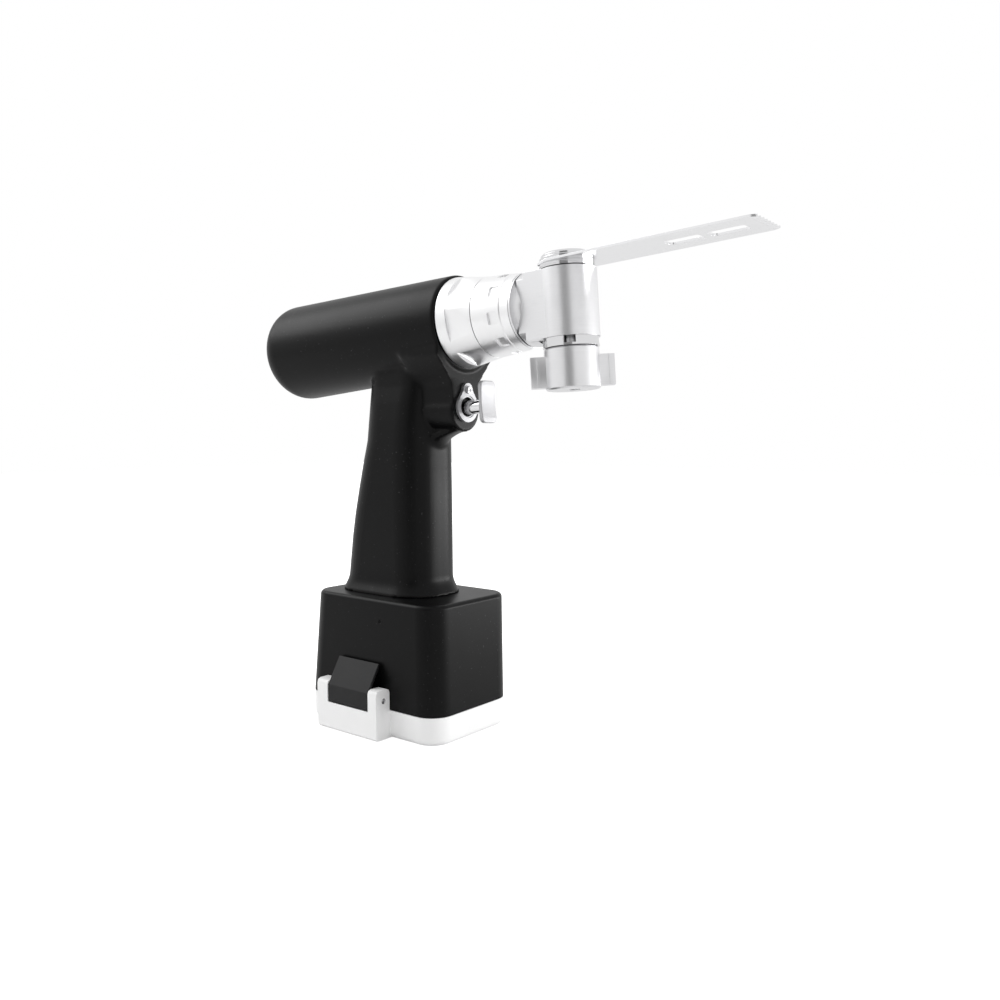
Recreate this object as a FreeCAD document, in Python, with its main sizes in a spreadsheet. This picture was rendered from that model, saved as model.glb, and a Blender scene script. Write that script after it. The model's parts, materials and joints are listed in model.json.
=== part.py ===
import FreeCAD, Part
import math
import os
import re

import Sketcher
from FreeCAD import Placement, Rotation, Vector

# A battery surgical saw: a pistol body with its motor in the barrel, an oscillating saw head
# on a quick coupling, and a battery box under the grip. Millimetres, +Z up, +X to the blade.
# The origin is the centre of the face that the saw stands on.
# The barrel frame starts at the centre of the barrel's front rim, and its X is the barrel's
# axis, tilted up by the size named tilt. Radii are measured from that axis.

SIZES = {
    # Where the barrel stands over the base
    "rim_x": 40.0, "rim_z": 203.3, "tilt": 4.14,
    # Fits
    "running_gap": 0.05, "close_gap": 0.03, "free_gap": 0.3,
    # Barrel shell
    "barrel_length": 129.0, "barrel_front_r": 23.2, "barrel_rear_r": 25.9,
    "barrel_rear_round": 12.9, "barrel_rim_round": 1.2, "motor_bore_r": 17.4,
    "rim_recess_r": 21.9, "rim_recess_depth": 3.0,
    # Grip
    "grip_half_width": 18.0, "grip_corner_r": 11.5, "foot_seam": 0.05,
    "grip_front_foot": 22.8, "grip_rear_foot": -31.8,
    "grip_front_low": 22.6, "grip_rear_low": -29.2, "grip_low_z": 96.0,
    "grip_front_mid": 22.3, "grip_rear_mid": -24.0, "grip_mid_z": 121.0,
    "grip_front_high": 22.0, "grip_rear_high": -17.6, "grip_high_z": 146.0,
    "grip_front_top": 22.0, "grip_rear_top": -15.0, "grip_top_z": 186.0,
    "channel_half_length": 13.0, "channel_half_width": 8.5, "channel_x": 2.0,
    # Trigger boss
    "boss_face_x": 40.6, "boss_r": 10.4, "boss_waist": 9.8, "boss_depth": 34.0,
    "boss_drop": 1.3,
    # Trigger
    "stem_drop": 41.0, "stem_r": 3.45, "stem_start": -17.8, "stem_collar_r": 4.6, "stem_collar_length": 2.5,
    "pad_start": 10.2, "pad_thick": 2.4, "pad_width": 10.7, "pad_height": 20.3, "pad_drop": -1.7,
    "pad_corner_r": 2.6, "pad_hollow_r": 60.0, "pad_hollow_depth": 0.5,
    "bush_start": -15.0, "bush_length": 12.0, "bush_r": 5.4,
    "plate_z": 162.7, "plate_thick": 1.6, "plate_r": 7.4, "plate_bore_r": 4.8, "plate_ear_r": 3.3,
    "plate_screw_rise": 8.3, "plate_screw_r": 1.1, "plate_screw_head_r": 1.9, "plate_screw_length": 9.0,
    "spring_length": 14.0, "spring_wire_r": 0.45, "spring_turns": 6.0, "spring_r": 3.9,
    # Electronics in the grip
    "board_x": 2.4, "board_thick": 1.6, "board_bottom": 76.0, "board_top": 172.0, "board_chips": 4,
    "sensor_half": 4.6, "sensor_z": 160.1, "sensor_face_x": 10.9,
    # Motor
    "can_wall": 2.0, "motor_end_room": 10.0, "can_rear": "=-barrel_length + motor_end_room", "can_front": -50.0, "motor_shaft_r": 2.5, "shaft_front": -40.0,
    "bearing_r": 6.5, "bearing_width": 5.0, "rotor_r": 9.4, "stator_inner_r": 9.9, "stator_slots": 9,
    "magnets": 6, "rotor_rear": "=can_rear + 13", "rotor_front": -64.0, "motor_cap_thick": 5.0,
    # Rear cap
    "rear_cap_r": 16.5, "rear_cap_proud": 2.8, "cap_seat_depth": 3.0, "cap_spigot_length": 5.5,
    "rear_spigot_r": 13.5,
    # Quick coupling
    "socket_rear": -36.0, "socket_front": 19.0, "socket_tube_r": 14.5, "spigot_r": 12.25, "spigot_rear": -16.0,
    "locking_balls": 3, "ball_r": 2.0, "ball_station": 10.0, "ball_centre_r": 13.35, "ball_land": 3.0,
    "lock_ring_start": 0.6, "lock_ring_end": 19.25, "lock_ring_rear_r": 22.0, "lock_ring_front_r": 19.05,
    "lock_ring_wall": 3.0, "lock_inner_r": 17.0, "lock_flat_start": 5.7, "lock_flat_r": 19.6, "lock_flats": 6,
    "lock_ring_roll": -19.0,
    "index_start": 19.65, "index_end": 40.0, "index_rear_r": 19.05, "index_mid_r": 17.85,
    "index_front_r": 17.35, "index_step": 35.0, "index_step_depth": 0.35, "notch_start": 28.6,
    "notch_length": 5.2, "notch_width": 5.6, "notch_depth": 0.9, "notches": 9, "index_roll": 22.0,
    # Saw head
    "head_reach": 61.4, "head_r": 13.3, "head_top": 14.6, "head_bottom": -15.6,
    "arm_r": 17.1, "arm_half_width": 12.3, "arm_full_end": 48.6, "collar_r": 17.3, "collar_end": 46.9,
    "collar_curve": 41.2, "collar_neck_r": 11.6, "cavity_start": 37.6, "cavity_half_width": 9.9,
    "cavity_half_height": 6.2, "shaft_bore_r": 8.0,
    "spindle_bearing_r": 10.4, "spindle_bearing_width": 4.5, "spindle_r": 6.0, "spindle_bottom": -19.75,
    "spindle_top": 16.0, "bolt_r": 3.0, "bolt_bottom": -35.0,
    "upper_bearing_top": 11.8, "lower_bearing_top": -6.2, "top_hole_r": 9.0,
    "neck_r": 12.7, "neck_length": 4.1, "neck_bore_r": 7.4, "neck_slots": 4, "neck_slot_width": 5.0, "neck_slot_height": 3.2,
    "neck_roll": -58.0,
    # Drive
    "coupling_rear": -45.0, "coupling_front": -24.0, "coupling_r": 8.5, "drive_rear": -33.0,
    "drive_shaft_r": 4.0, "throw": 0.85, "crank_start": 39.2, "crank_end": 44.6, "crank_reach": 19.4,
    "crank_pin_r": 2.0, "crank_bearing_r": 4.0, "crank_bearing_width": 4.4, "shaft_bearing_width": 6.0,
    "swing": 2.5, "fork_hub_r": 8.8, "fork_root": 4.5, "fork_thick": 7.0, "fork_gap": 6.0, "tine_thick": 1.7,
    "tine_over": 2.4,
    # Blade and its clamp
    "flange_r": 12.3, "flange_bottom": 14.95, "flange_top": 17.2, "blade_thick": 1.0,
    "blade_half_width": 14.1, "blade_reach": 92.4, "blade_back": 10.5, "blade_hub_half_width": 8.0,
    "blade_hub_taper": 3.0, "blade_teeth": 8, "tooth_depth": 2.8, "slot_near": 49.0, "slot_far": 68.2,
    "slot_length": 15.5, "slot_half_width": 2.8, "slot_round": 1.2,
    "cap_r": 12.2, "cap_bottom": 18.3, "cap_height": 3.6, "locating_pins": 4, "locating_pin_r": 1.0,
    "locating_circle_r": 8.4,
    # Knob
    "knob_r": 12.4, "knob_top": -20.0, "knob_bottom": -38.4, "lug_reach": 18.7, "lug_top": -23.5,
    "lug_bottom": -37.2, "lug_half_width": 3.6, "knob_edge_bevel": 0.7, "knob_roll": 36.0,
    # Battery box
    "box_half_length": "=battery_half_length + battery_end_room", "box_half_width": 30.0, "box_corner_r": 12.0, "box_top": 68.1,
    "box_rear_lean": 5.5, "box_front_lean": 1.0, "box_wall": 2.6, "box_round": 2.2, "dimple_x": 10.2, "dimple_z": 57.2,
   
    "screw_front_x": 18.0, "screw_rear_x": -25.0, "screw_y": 11.2, "screw_r": 1.5, "screw_length": 18.0,
    "screw_head_r": 2.8, "screw_head_height": 2.2,
    "contact_half_length": 14.0, "contact_half_width": 8.0, "contact_bottom": 60.5, "contact_pitch": 6.0,
    "contact_pin_r": 1.2, "contact_pad_top": 56.5, "riser_half_length": 7.0, "riser_half_width": 5.0,
    # Cover, hinge and latch
    "cover_height": 14.0, "cover_floor": 3.0, "cover_edge_round": 3.0, "seam_gap": 0.3, "seal_inset": 0.9,
    "spigot_rise": 3.0, "spigot_wall": 1.6, "spigot_gap": 0.9,
    "latch_pad_x": -4.5, "latch_pad_half": 21.3, "latch_pad_reach": "=box_half_width + 9.6", "ear_height": 25.2, "notch_x": -3.6,
    "notch_half": 14.6, "notch_floor": 14.3, "notch_sweep_r": 7.4, "latch_pin_y": "=-box_half_width - 4.1", "latch_pin_z": 19.4, "latch_pin_r": 1.5, "latch_eye_r": 2.6,
    "flap_y": "=-box_half_width - 9.4", "flap_half_length": 14.3, "flap_thick": 1.6, "flap_bend_z": 23.2,
    "flap_top_y": "=-box_half_width - 1.6", "flap_top_z": 36.6,
    "hinge_y": "=box_half_width + 1", "hinge_z": 14.15, "hinge_pin_r": 1.25, "hinge_pin_half": 22.0, "knuckle_r": 2.6,
    "knuckle_length": 8.0, "cover_knuckle_half": 14.0,
    # Battery
    "battery_half_length": 37.6, "battery_end_room": 8.9, "battery_side_room": 7.0,
    "battery_half_width": "=box_half_width - battery_side_room", "battery_bottom": 3.2, "battery_height": 50.0,
    "battery_wall": 1.4, "cell_r": "=(battery_half_width - battery_wall - 0.8) / 2",
    "cell_length": "=2 * battery_half_length - 5.2", "lid_thick": 1.6, "lid_rim": 3.0,
}

doc = FreeCAD.newDocument("SurgicalSaw")
sheet = doc.addObject("Spreadsheet::Sheet", "Sizes")
for row, alias in enumerate(SIZES, start=1):
    sheet.set(f"A{row}", alias)
    sheet.setAlias(f"B{row}", alias)
for row, value in enumerate(SIZES.values(), start=1):
    sheet.set(f"B{row}", str(value))
doc.recompute()

FULL_TURN = 360
parts = []


def bound(formula):
    """The formula with each size written as a cell of the sheet."""
    def cell(word):
        return "Sizes." + word.group() if word.group() in SIZES else word.group()
    return re.sub(r"[a-z]\w*", cell, str(formula))


def size(formula):
    """The formula's value now."""
    return float(sheet.evalExpression(str(formula)))


def finish(shape_object, label, frame=None):
    """Names a finished sub-part and sets it in its frame."""
    shape_object.Label = label
    if frame is not None:
        shape_object.Placement = frame
    parts.append(shape_object)
    return shape_object


# Frames

BASE = Placement()
BARREL = Placement(Vector(size("rim_x"), 0, size("rim_z")), Rotation(Vector(0, -1, 0), size("tilt")))
HEAD = BARREL * Placement(Vector(size("head_reach"), 0, 0), Rotation())
SWUNG = HEAD * Placement(Vector(), Rotation(Vector(0, 0, 1), size("swing")))
STEM = BARREL * Placement(Vector(0, 0, -size("stem_drop")), Rotation())


def rolled(frame, angle):
    """The frame turned about its own X."""
    return frame * Placement(Vector(), Rotation(Vector(1, 0, 0), angle))


def turned_z(frame, angle):
    """The frame turned about its own Z."""
    return frame * Placement(Vector(), Rotation(Vector(0, 0, 1), angle))


# Sketch helpers

def origin_plane(body, role):
    return next(plane for plane in body.Origin.OriginFeatures if plane.Role == role)


def new_sketch(body, name, role, offset=None):
    """A sketch on one of the body's own origin planes; offset holds formulas for its shift."""
    sketch = body.newObject("Sketcher::SketchObject", name)
    sketch.AttachmentSupport = [(origin_plane(body, role), "")]
    sketch.MapMode = "FlatFace"
    for axis, formula in (offset or {}).items():
        sketch.setExpression(f"AttachmentOffset.Base.{axis}", bound(formula))
    return sketch


def pin_point(sketch, edge, end, across, up):
    """Ties one end of an edge to two formulas."""
    for kind, formula, axis in (("DistanceX", across, -2), ("DistanceY", up, -1)):
        if str(formula) == "0":
            sketch.addConstraint(Sketcher.Constraint("PointOnObject", edge, end, axis))
            continue
        index = sketch.addConstraint(Sketcher.Constraint(kind, -1, 1, edge, end, size(formula)))
        sketch.setExpression(f"Constraints[{index}]", bound(formula))


def draw_outline(sketch, corners):
    """A closed outline of straight lines through corners given as pairs of formulas."""
    first = sketch.GeometryCount
    spots = [Vector(size(across), size(up), 0) for across, up in corners]
    count = len(spots)
    for i in range(count):
        sketch.addGeometry(Part.LineSegment(spots[i], spots[(i + 1) % count]), False)
    for i in range(count):
        sketch.addConstraint(Sketcher.Constraint("Coincident", first + i, 2, first + (i + 1) % count, 1))
    for i, (across, up) in enumerate(corners):
        pin_point(sketch, first + i, 1, across, up)


def draw_circle(sketch, across, up, radius):
    edge = sketch.addGeometry(Part.Circle(Vector(size(across), size(up), 0), Vector(0, 0, 1), size(radius)), False)
    pin_point(sketch, edge, 3, across, up)
    index = sketch.addConstraint(Sketcher.Constraint("Radius", edge, size(radius)))
    sketch.setExpression(f"Constraints[{index}]", bound(radius))


def draw_rounded(sketch, low_x, high_x, low_y, high_y, radius):
    """A rectangle with four round corners of one radius."""
    x0, x1, y0, y1, r = (size(each) for each in (low_x, high_x, low_y, high_y, radius))
    first = sketch.GeometryCount
    runs = [((x0 + r, y0), (x1 - r, y0)), ((x1, y0 + r), (x1, y1 - r)),
            ((x1 - r, y1), (x0 + r, y1)), ((x0, y1 - r), (x0, y0 + r))]
    centres = [(x1 - r, y0 + r, 270), (x1 - r, y1 - r, 0), (x0 + r, y1 - r, 90), (x0 + r, y0 + r, 180)]
    for (start, end), (cx, cy, angle) in zip(runs, centres):
        sketch.addGeometry(Part.LineSegment(Vector(*start, 0), Vector(*end, 0)), False)
        circle = Part.Circle(Vector(cx, cy, 0), Vector(0, 0, 1), r)
        sketch.addGeometry(Part.ArcOfCircle(circle, math.radians(angle), math.radians(angle + 90)), False)
    for i in range(4):
        line, arc, after = first + 2 * i, first + 2 * i + 1, first + (2 * i + 2) % 8
        sketch.addConstraint(Sketcher.Constraint("Tangent", line, 2, arc, 1))
        sketch.addConstraint(Sketcher.Constraint("Tangent", arc, 2, after, 1))
    for line, kind in ((0, "Horizontal"), (2, "Vertical"), (4, "Horizontal"), (6, "Vertical")):
        sketch.addConstraint(Sketcher.Constraint(kind, first + line))
    for arc in (3, 5, 7):
        sketch.addConstraint(Sketcher.Constraint("Equal", first + 1, first + arc))
    ties = [("Radius", (first + 1,), radius), ("DistanceY", (-1, 1, first, 1), low_y),
            ("DistanceX", (-1, 1, first + 2, 1), high_x), ("DistanceY", (-1, 1, first + 4, 1), high_y),
            ("DistanceX", (-1, 1, first + 6, 1), low_x)]
    for kind, where, formula in ties:
        index = sketch.addConstraint(Sketcher.Constraint(kind, *where, size(formula)))
        sketch.setExpression(f"Constraints[{index}]", bound(formula))


# Feature helpers

def new_body(name):
    return doc.addObject("PartDesign::Body", name)


def turned(name, outline, axis="H_Axis"):
    """A body turned from an outline of (along, radius) for H_Axis, or (radius, height) for V_Axis."""
    body = new_body(name)
    sketch = new_sketch(body, name + "_profile", "XZ_Plane")
    draw_outline(sketch, outline)
    turn = body.newObject("PartDesign::Revolution", name + "_turn")
    turn.Profile = sketch
    turn.ReferenceAxis = (sketch, [axis])
    turn.Angle = FULL_TURN
    doc.recompute()
    return body


def ring_profile(start, end, inner, outer):
    """Outline of a plain ring or tube along the barrel's axis."""
    return [(start, inner), (start, outer), (end, outer), (end, inner)]


def post_profile(bottom, top, inner, outer):
    """Outline of a plain ring or post about the head's axis."""
    return [(inner, bottom), (outer, bottom), (outer, top), (inner, top)]


def pad(body, name, sketch, length, reverse=False, middle=False, taper=None):
    block = body.newObject("PartDesign::Pad", name)
    block.Profile = sketch
    block.setExpression("Length", bound(length))
    block.Reversed = reverse
    if middle:
        block.SideType = "Symmetric"
    if taper is not None:
        block.setExpression("TaperAngle", bound(taper))
    doc.recompute()
    return block


def pocket(body, name, sketch, depth=None, reverse=False, middle=False):
    """A pocket to a depth, or right through where none is given."""
    cut = body.newObject("PartDesign::Pocket", name)
    cut.Profile = sketch
    cut.Reversed = reverse
    if middle:
        cut.SideType = "Symmetric"
    if depth is None:
        cut.Type = "ThroughAll"
    else:
        cut.setExpression("Length", bound(depth))
    doc.recompute()
    return cut


def around(body, name, feature, sketch, axis, count):
    """Repeats a feature about one of its sketch's axes."""
    ring = body.newObject("PartDesign::PolarPattern", name)
    ring.Originals = [feature]
    ring.Axis = (sketch, [axis])
    ring.Angle = FULL_TURN
    ring.setExpression("Occurrences", bound(count))
    body.Tip = ring
    doc.recompute()
    return ring


def loft(body, name, sections, ruled=False):
    skin = body.newObject("PartDesign::AdditiveLoft", name)
    skin.Profile = sections[0]
    skin.Sections = sections[1:]
    skin.Ruled = ruled
    doc.recompute()
    return skin


def edges_where(shape, test):
    """Names of the edges whose middle and shape pass a test."""
    return [f"Edge{i}" for i, edge in enumerate(shape.Edges, start=1) if test(edge)]


def round_edges(body, name, radius, test, kind="Fillet"):
    """Rounds or chamfers the edges of the body's last feature that pass a test."""
    last = body.Tip
    names = edges_where(last.Shape, test)
    if not names:
        raise RuntimeError(f"{name} found no edge")
    feature = body.newObject(f"PartDesign::{kind}", name)
    feature.Base = (last, names)
    feature.setExpression("Radius" if kind == "Fillet" else "Size", bound(radius))
    doc.recompute()
    return feature


def is_circle(edge, radius):
    """True for a circular edge of about this radius."""
    return isinstance(edge.Curve, Part.Circle) and abs(edge.Curve.Radius - radius) < 0.02


def is_level(edge, height):
    """True for an edge whose ends and middle lie at this height."""
    middle = edge.valueAt((edge.FirstParameter + edge.LastParameter) / 2)
    return all(abs(spot.z - height) < 0.01 for spot in [middle] + [point.Point for point in edge.Vertexes])


def primitive(kind, name, at=("0", "0", "0"), turn=None, **props):
    """A Part primitive with its sizes and place bound to formulas."""
    solid = doc.addObject(f"Part::{kind}", name)
    if turn is not None:
        solid.Placement = Placement(Vector(), turn)
    for prop, formula in props.items():
        solid.setExpression(prop, bound(formula))
    for axis, formula in zip("xyz", at):
        solid.setExpression(f".Placement.Base.{axis}", bound(formula))
    return solid


ALONG_X = Rotation(Vector(0, 1, 0), 90)
ALONG_Y = Rotation(Vector(1, 0, 0), -90)


def fused(name, solids):
    union = doc.addObject("Part::MultiFuse", name)
    union.Shapes = solids
    union.Refine = True
    doc.recompute()
    return union


def cut_from(name, base, tools):
    """The base with one or more tools cut from it."""
    tool = tools[0] if len(tools) == 1 else fused(name + "_tools", tools)
    result = doc.addObject("Part::Cut", name)
    result.Base = base
    result.Tool = tool
    result.Refine = True
    doc.recompute()
    return result


def block(name, low, high):
    """A box between two corners given as formulas."""
    lengths = [f"({b}) - ({a})" for a, b in zip(low, high)]
    return primitive("Box", name, low, Length=lengths[0], Width=lengths[1], Height=lengths[2])


def bearing(label, frame, start, width, inner, outer, axis="H_Axis"):
    """A sealed ball bearing: rings with a shallow shield groove in each face."""
    third = f"(({outer}) - ({inner})) / 3"
    near, far = f"({inner}) + {third}", f"({outer}) - {third}"
    end = f"({start}) + ({width})"
    dip = "0.4"
    along = [(start, inner), (start, near), (f"({start}) + {dip}", near), (f"({start}) + {dip}", far),
             (start, far), (start, outer), (end, outer), (end, far), (f"({end}) - {dip}", far),
             (f"({end}) - {dip}", near), (end, near), (end, inner)]
    if axis == "V_Axis":
        along = [(radius, height) for height, radius in along]
    return finish(turned(label, along, axis), label, frame)


# Handpiece body: barrel, grip and trigger boss in one shell

def grip_section(body, name, height, rear, front, grow="0"):
    sketch = new_sketch(body, name, "XY_Plane", {"z": height})
    draw_rounded(sketch, f"{rear} - {grow}", f"{front} + {grow}", f"-grip_half_width - {grow}",
                 f"grip_half_width + {grow}", f"grip_corner_r + {grow}")
    return sketch


FOOT = "(box_top + foot_seam)"
# The grip's foot sweeps out: height over the box, and how far it stands out there
FLARE_STEPS = ((8.6, 0.0), (6.8, 0.25), (5.2, 0.75), (3.8, 1.35), (2.4, 2.1), (0.8, 3.0))


def make_grip():
    body = new_body("grip_form")
    sections = [grip_section(body, "grip_foot", f"{FOOT} + {FLARE_STEPS[0][0]}", "grip_rear_foot",
                             "grip_front_foot")]
    for level in ("low", "mid", "high", "top"):
        sections.append(grip_section(body, f"grip_{level}", f"grip_{level}_z", f"grip_rear_{level}",
                                     f"grip_front_{level}"))
    loft(body, "grip_loft", sections)
    flare = [grip_section(body, f"flare_{i}", f"{FOOT} + {rise}", "grip_rear_foot", "grip_front_foot", grow)
             for i, (rise, grow) in enumerate(FLARE_STEPS)]
    loft(body, "flare_loft", flare, ruled=True)
    lip = grip_section(body, "lip_outline", FOOT, "grip_rear_foot", "grip_front_foot", FLARE_STEPS[-1][1])
    pad(body, "lip", lip, FLARE_STEPS[-1][0])
    return body


# The boss spreads towards the barrel: how far beyond its waist, and the drop below the rim's centre
BOSS_FLANK = ((0.0, 32.8), (0.15, 31.0), (0.7, 28.9), (2.1, 26.7), (4.3, 23.9), (7.9, 19.7), (11.0, 16.2), (11.0, 8.0))


def make_boss():
    """The keyhole-shaped block under the barrel that carries the trigger."""
    body = new_body("boss_form")
    sketch = new_sketch(body, "boss_outline", "YZ_Plane", {"z": "boss_face_x"})
    stem_z = "rim_z - stem_drop - boss_drop"
    draw_circle(sketch, "0", stem_z, "boss_r")
    pad(body, "boss_round", sketch, "boss_depth", reverse=True)
    web = new_sketch(body, "web_outline", "YZ_Plane", {"z": "boss_face_x"})
    right = [(f"boss_waist + {out}", f"rim_z - {drop}") for out, drop in BOSS_FLANK]
    left = [(f"-(boss_waist + {out})", f"rim_z - {drop}") for out, drop in reversed(BOSS_FLANK)]
    draw_outline(web, [("boss_waist", stem_z)] + right + left + [("-boss_waist", stem_z)])
    pad(body, "boss_web", web, "boss_depth", reverse=True)
    return body


def make_handpiece():
    barrel = turned("barrel_form", [("-barrel_length", "0"), ("-barrel_length", "barrel_rear_r"),
                                    ("0", "barrel_front_r"), ("0", "0")])
    round_edges(barrel, "barrel_rear_edge", "barrel_rear_round",
                lambda edge: is_circle(edge, size("barrel_rear_r")))
    round_edges(barrel, "barrel_rim_edge", "barrel_rim_round",
                lambda edge: is_circle(edge, size("barrel_front_r")))
    barrel.Placement = BARREL
    shell = fused("handpiece_solid", [barrel, make_grip(), make_boss()])
    front_seat = "motor_bore_r + 0.2"
    seat_end = "-barrel_length + cap_seat_depth"
    cap_end = f"{seat_end} + cap_spigot_length + 0.5"
    bore = turned("motor_bore_form", [
        ("-barrel_length - 1", "0"), ("-barrel_length - 1", "rear_cap_r + running_gap"),
        (seat_end, "rear_cap_r + running_gap"), (seat_end, "rear_spigot_r + running_gap"),
        (cap_end, "rear_spigot_r + running_gap"), (cap_end, "motor_bore_r"),
        ("socket_rear", "motor_bore_r"), ("socket_rear", front_seat), ("-rim_recess_depth", front_seat),
        ("-rim_recess_depth", "rim_recess_r - 1"), ("1", "rim_recess_r + 1 / 3"), ("1", "0")])
    bore.Placement = BARREL
    stem_bore = turned("stem_bore_form", [
        ("-46", "0"), ("-46", "bush_r + close_gap"), ("12", "bush_r + close_gap"), ("12", "0")])
    stem_bore.Placement = STEM
    screw_bore = primitive("Cylinder", "plate_screw_bore",
                           ("boss_face_x - plate_screw_length", "0", "plate_z + plate_screw_rise"), ALONG_X,
                           Radius="plate_screw_r + close_gap", Height="plate_screw_length + 1")
    channel = block("grip_channel", ("channel_x - channel_half_length", "-channel_half_width", f"{FOOT} - 1"),
                    ("channel_x + channel_half_length", "channel_half_width", "rim_z - 14"))
    holes = [primitive("Cylinder", f"foot_hole_{i}", (x, y, f"{FOOT} - 1"), Radius="screw_r + close_gap",
                       Height="screw_length - box_wall + 1")
             for i, (x, y) in enumerate(SCREW_SPOTS)]
    handpiece = cut_from("handpiece_shell", shell, [bore, stem_bore, channel, screw_bore] + holes)
    return finish(handpiece, "handpiece_body")


SCREW_SPOTS = [(x, y) for x in ("screw_front_x", "screw_rear_x") for y in ("screw_y", "-screw_y")]


# Motor in the barrel

def make_motor():
    can = "motor_bore_r - close_gap"
    inside = "motor_bore_r - close_gap - can_wall"
    seat = "bearing_r + close_gap"
    nose = "can_front - 3"
    finish(turned("motor_can_form", [
        ("can_rear", inside), ("can_rear", can), ("can_front", can), ("can_front", "motor_shaft_r + 0.8"),
        (nose, "motor_shaft_r + 0.8"), (nose, seat), (f"{nose} - bearing_width", seat),
        (f"{nose} - bearing_width", inside)]), "motor_can", BARREL)
    plate = f"{inside} - close_gap"
    finish(turned("motor_plate_form", [
        ("can_rear", "0"), ("can_rear", plate), ("can_rear + motor_cap_thick", plate),
        ("can_rear + motor_cap_thick", seat), ("can_rear + 2", seat), ("can_rear + 2", "0")]),
        "motor_rear_plate", BARREL)
    bearing("motor_bearing_front", BARREL, f"{nose} - bearing_width", "bearing_width",
            "motor_shaft_r + close_gap", "bearing_r")
    bearing("motor_bearing_rear", BARREL, "can_rear + 2.05", "bearing_width",
            "motor_shaft_r + close_gap", "bearing_r")
    make_stator()
    make_rotor()
    finish(turned("motor_shaft_form", ring_profile("can_rear + 2.4", "shaft_front", "0", "motor_shaft_r")),
           "motor_shaft", BARREL)


def make_stator():
    """Laminated ring with winding slots along its bore."""
    outer = "motor_bore_r - 2 * close_gap - can_wall"
    body = turned("stator_form", ring_profile("rotor_rear + 1", "rotor_front - 2", "stator_inner_r", outer))
    slot = new_sketch(body, "winding_slot_outline", "YZ_Plane", {"z": "rotor_rear"})
    draw_outline(slot, [("-0.7", "stator_inner_r - 1"), ("0.7", "stator_inner_r - 1"),
                        ("0.7", "stator_inner_r + 3.4"), ("-0.7", "stator_inner_r + 3.4")])
    cut = pocket(body, "winding_slot", slot, "rotor_front - rotor_rear", reverse=True)
    around(body, "winding_slots", cut, slot, "N_Axis", "stator_slots")
    finish(body, "stator", BARREL)


def make_rotor():
    body = turned("rotor_form", ring_profile("rotor_rear", "rotor_front", "motor_shaft_r + close_gap", "rotor_r"))
    gap = new_sketch(body, "magnet_gap_outline", "YZ_Plane", {"z": "rotor_rear - 1"})
    draw_outline(gap, [("-0.5", "rotor_r - 1.2"), ("0.5", "rotor_r - 1.2"),
                       ("0.5", "rotor_r + 1"), ("-0.5", "rotor_r + 1")])
    cut = pocket(body, "magnet_gap", gap, "rotor_front - rotor_rear + 2", reverse=True)
    around(body, "magnet_gaps", cut, gap, "N_Axis", "magnets")
    finish(body, "rotor", BARREL)


def make_rear_cap():
    start = "-barrel_length"
    seat = "-barrel_length + cap_seat_depth - 0.05"
    end = "-barrel_length + cap_seat_depth + cap_spigot_length"
    groove = "-barrel_length + cap_seat_depth + 2"
    body = turned("rear_cap_form", [
        (f"{start} - rear_cap_proud", "0"), (f"{start} - rear_cap_proud", "rear_cap_r"),
        (seat, "rear_cap_r"), (seat, "rear_spigot_r"), (groove, "rear_spigot_r"),
        (groove, "rear_spigot_r - 1.5"), (f"{groove} + 1.7", "rear_spigot_r - 1.5"),
        (f"{groove} + 1.7", "rear_spigot_r"), (end, "rear_spigot_r"), (end, "0")])
    round_edges(body, "cap_edge", "0.5", lambda edge: is_circle(edge, size("rear_cap_r"))
                and edge.CenterOfMass.x < size(start), "Chamfer")
    finish(body, "rear_cap", BARREL)
    finish(turned("rear_seal_form", ring_profile(f"{groove} + 0.05", f"{groove} + 1.65", "rear_spigot_r - 1.47",
                                                 "rear_spigot_r + 0.03")), "rear_cap_seal", BARREL)


# Quick coupling between barrel and saw head

def make_socket():
    """The fixed nose: a flange in the barrel's mouth, and the tube that the head plugs into."""
    seat = "motor_bore_r + 0.2 - close_gap"
    inner = "spigot_r + running_gap"
    body = turned("socket_form", [
        ("socket_rear + 0.05", inner), ("socket_rear + 0.05", seat), ("-rim_recess_depth + 0.05", seat),
        ("-rim_recess_depth + 0.05", "rim_recess_r - 1.05"), ("-0.2", "rim_recess_r - 1.05"),
        ("-0.2", "socket_tube_r"), ("socket_front", "socket_tube_r"), ("socket_front", inner)])
    hole = new_sketch(body, "ball_hole_outline", "XY_Plane")
    draw_circle(hole, "ball_station", "0", "ball_r + running_gap")
    cut = pocket(body, "ball_hole", hole, "socket_tube_r + 1", reverse=True)
    ring = body.newObject("PartDesign::PolarPattern", "ball_holes")
    ring.Originals = [cut]
    ring.Axis = (origin_axis(body, "X_Axis"), [""])
    ring.Angle = FULL_TURN
    ring.setExpression("Occurrences", bound("locking_balls"))
    body.Tip = ring
    doc.recompute()
    finish(body, "nose_socket", BARREL)
    balls = []
    for i in range(SIZES["locking_balls"]):
        turn = FULL_TURN / SIZES["locking_balls"] * i
        balls.append(primitive("Sphere", f"ball_{i}", ("ball_station", f"ball_centre_r * sin({turn})",
                                                       f"ball_centre_r * cos({turn})"), Radius="ball_r"))
    finish(fused("ball_set", balls), "locking_balls", BARREL)


def origin_axis(body, role):
    return next(axis for axis in body.Origin.OriginFeatures if axis.Role == role)


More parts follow.
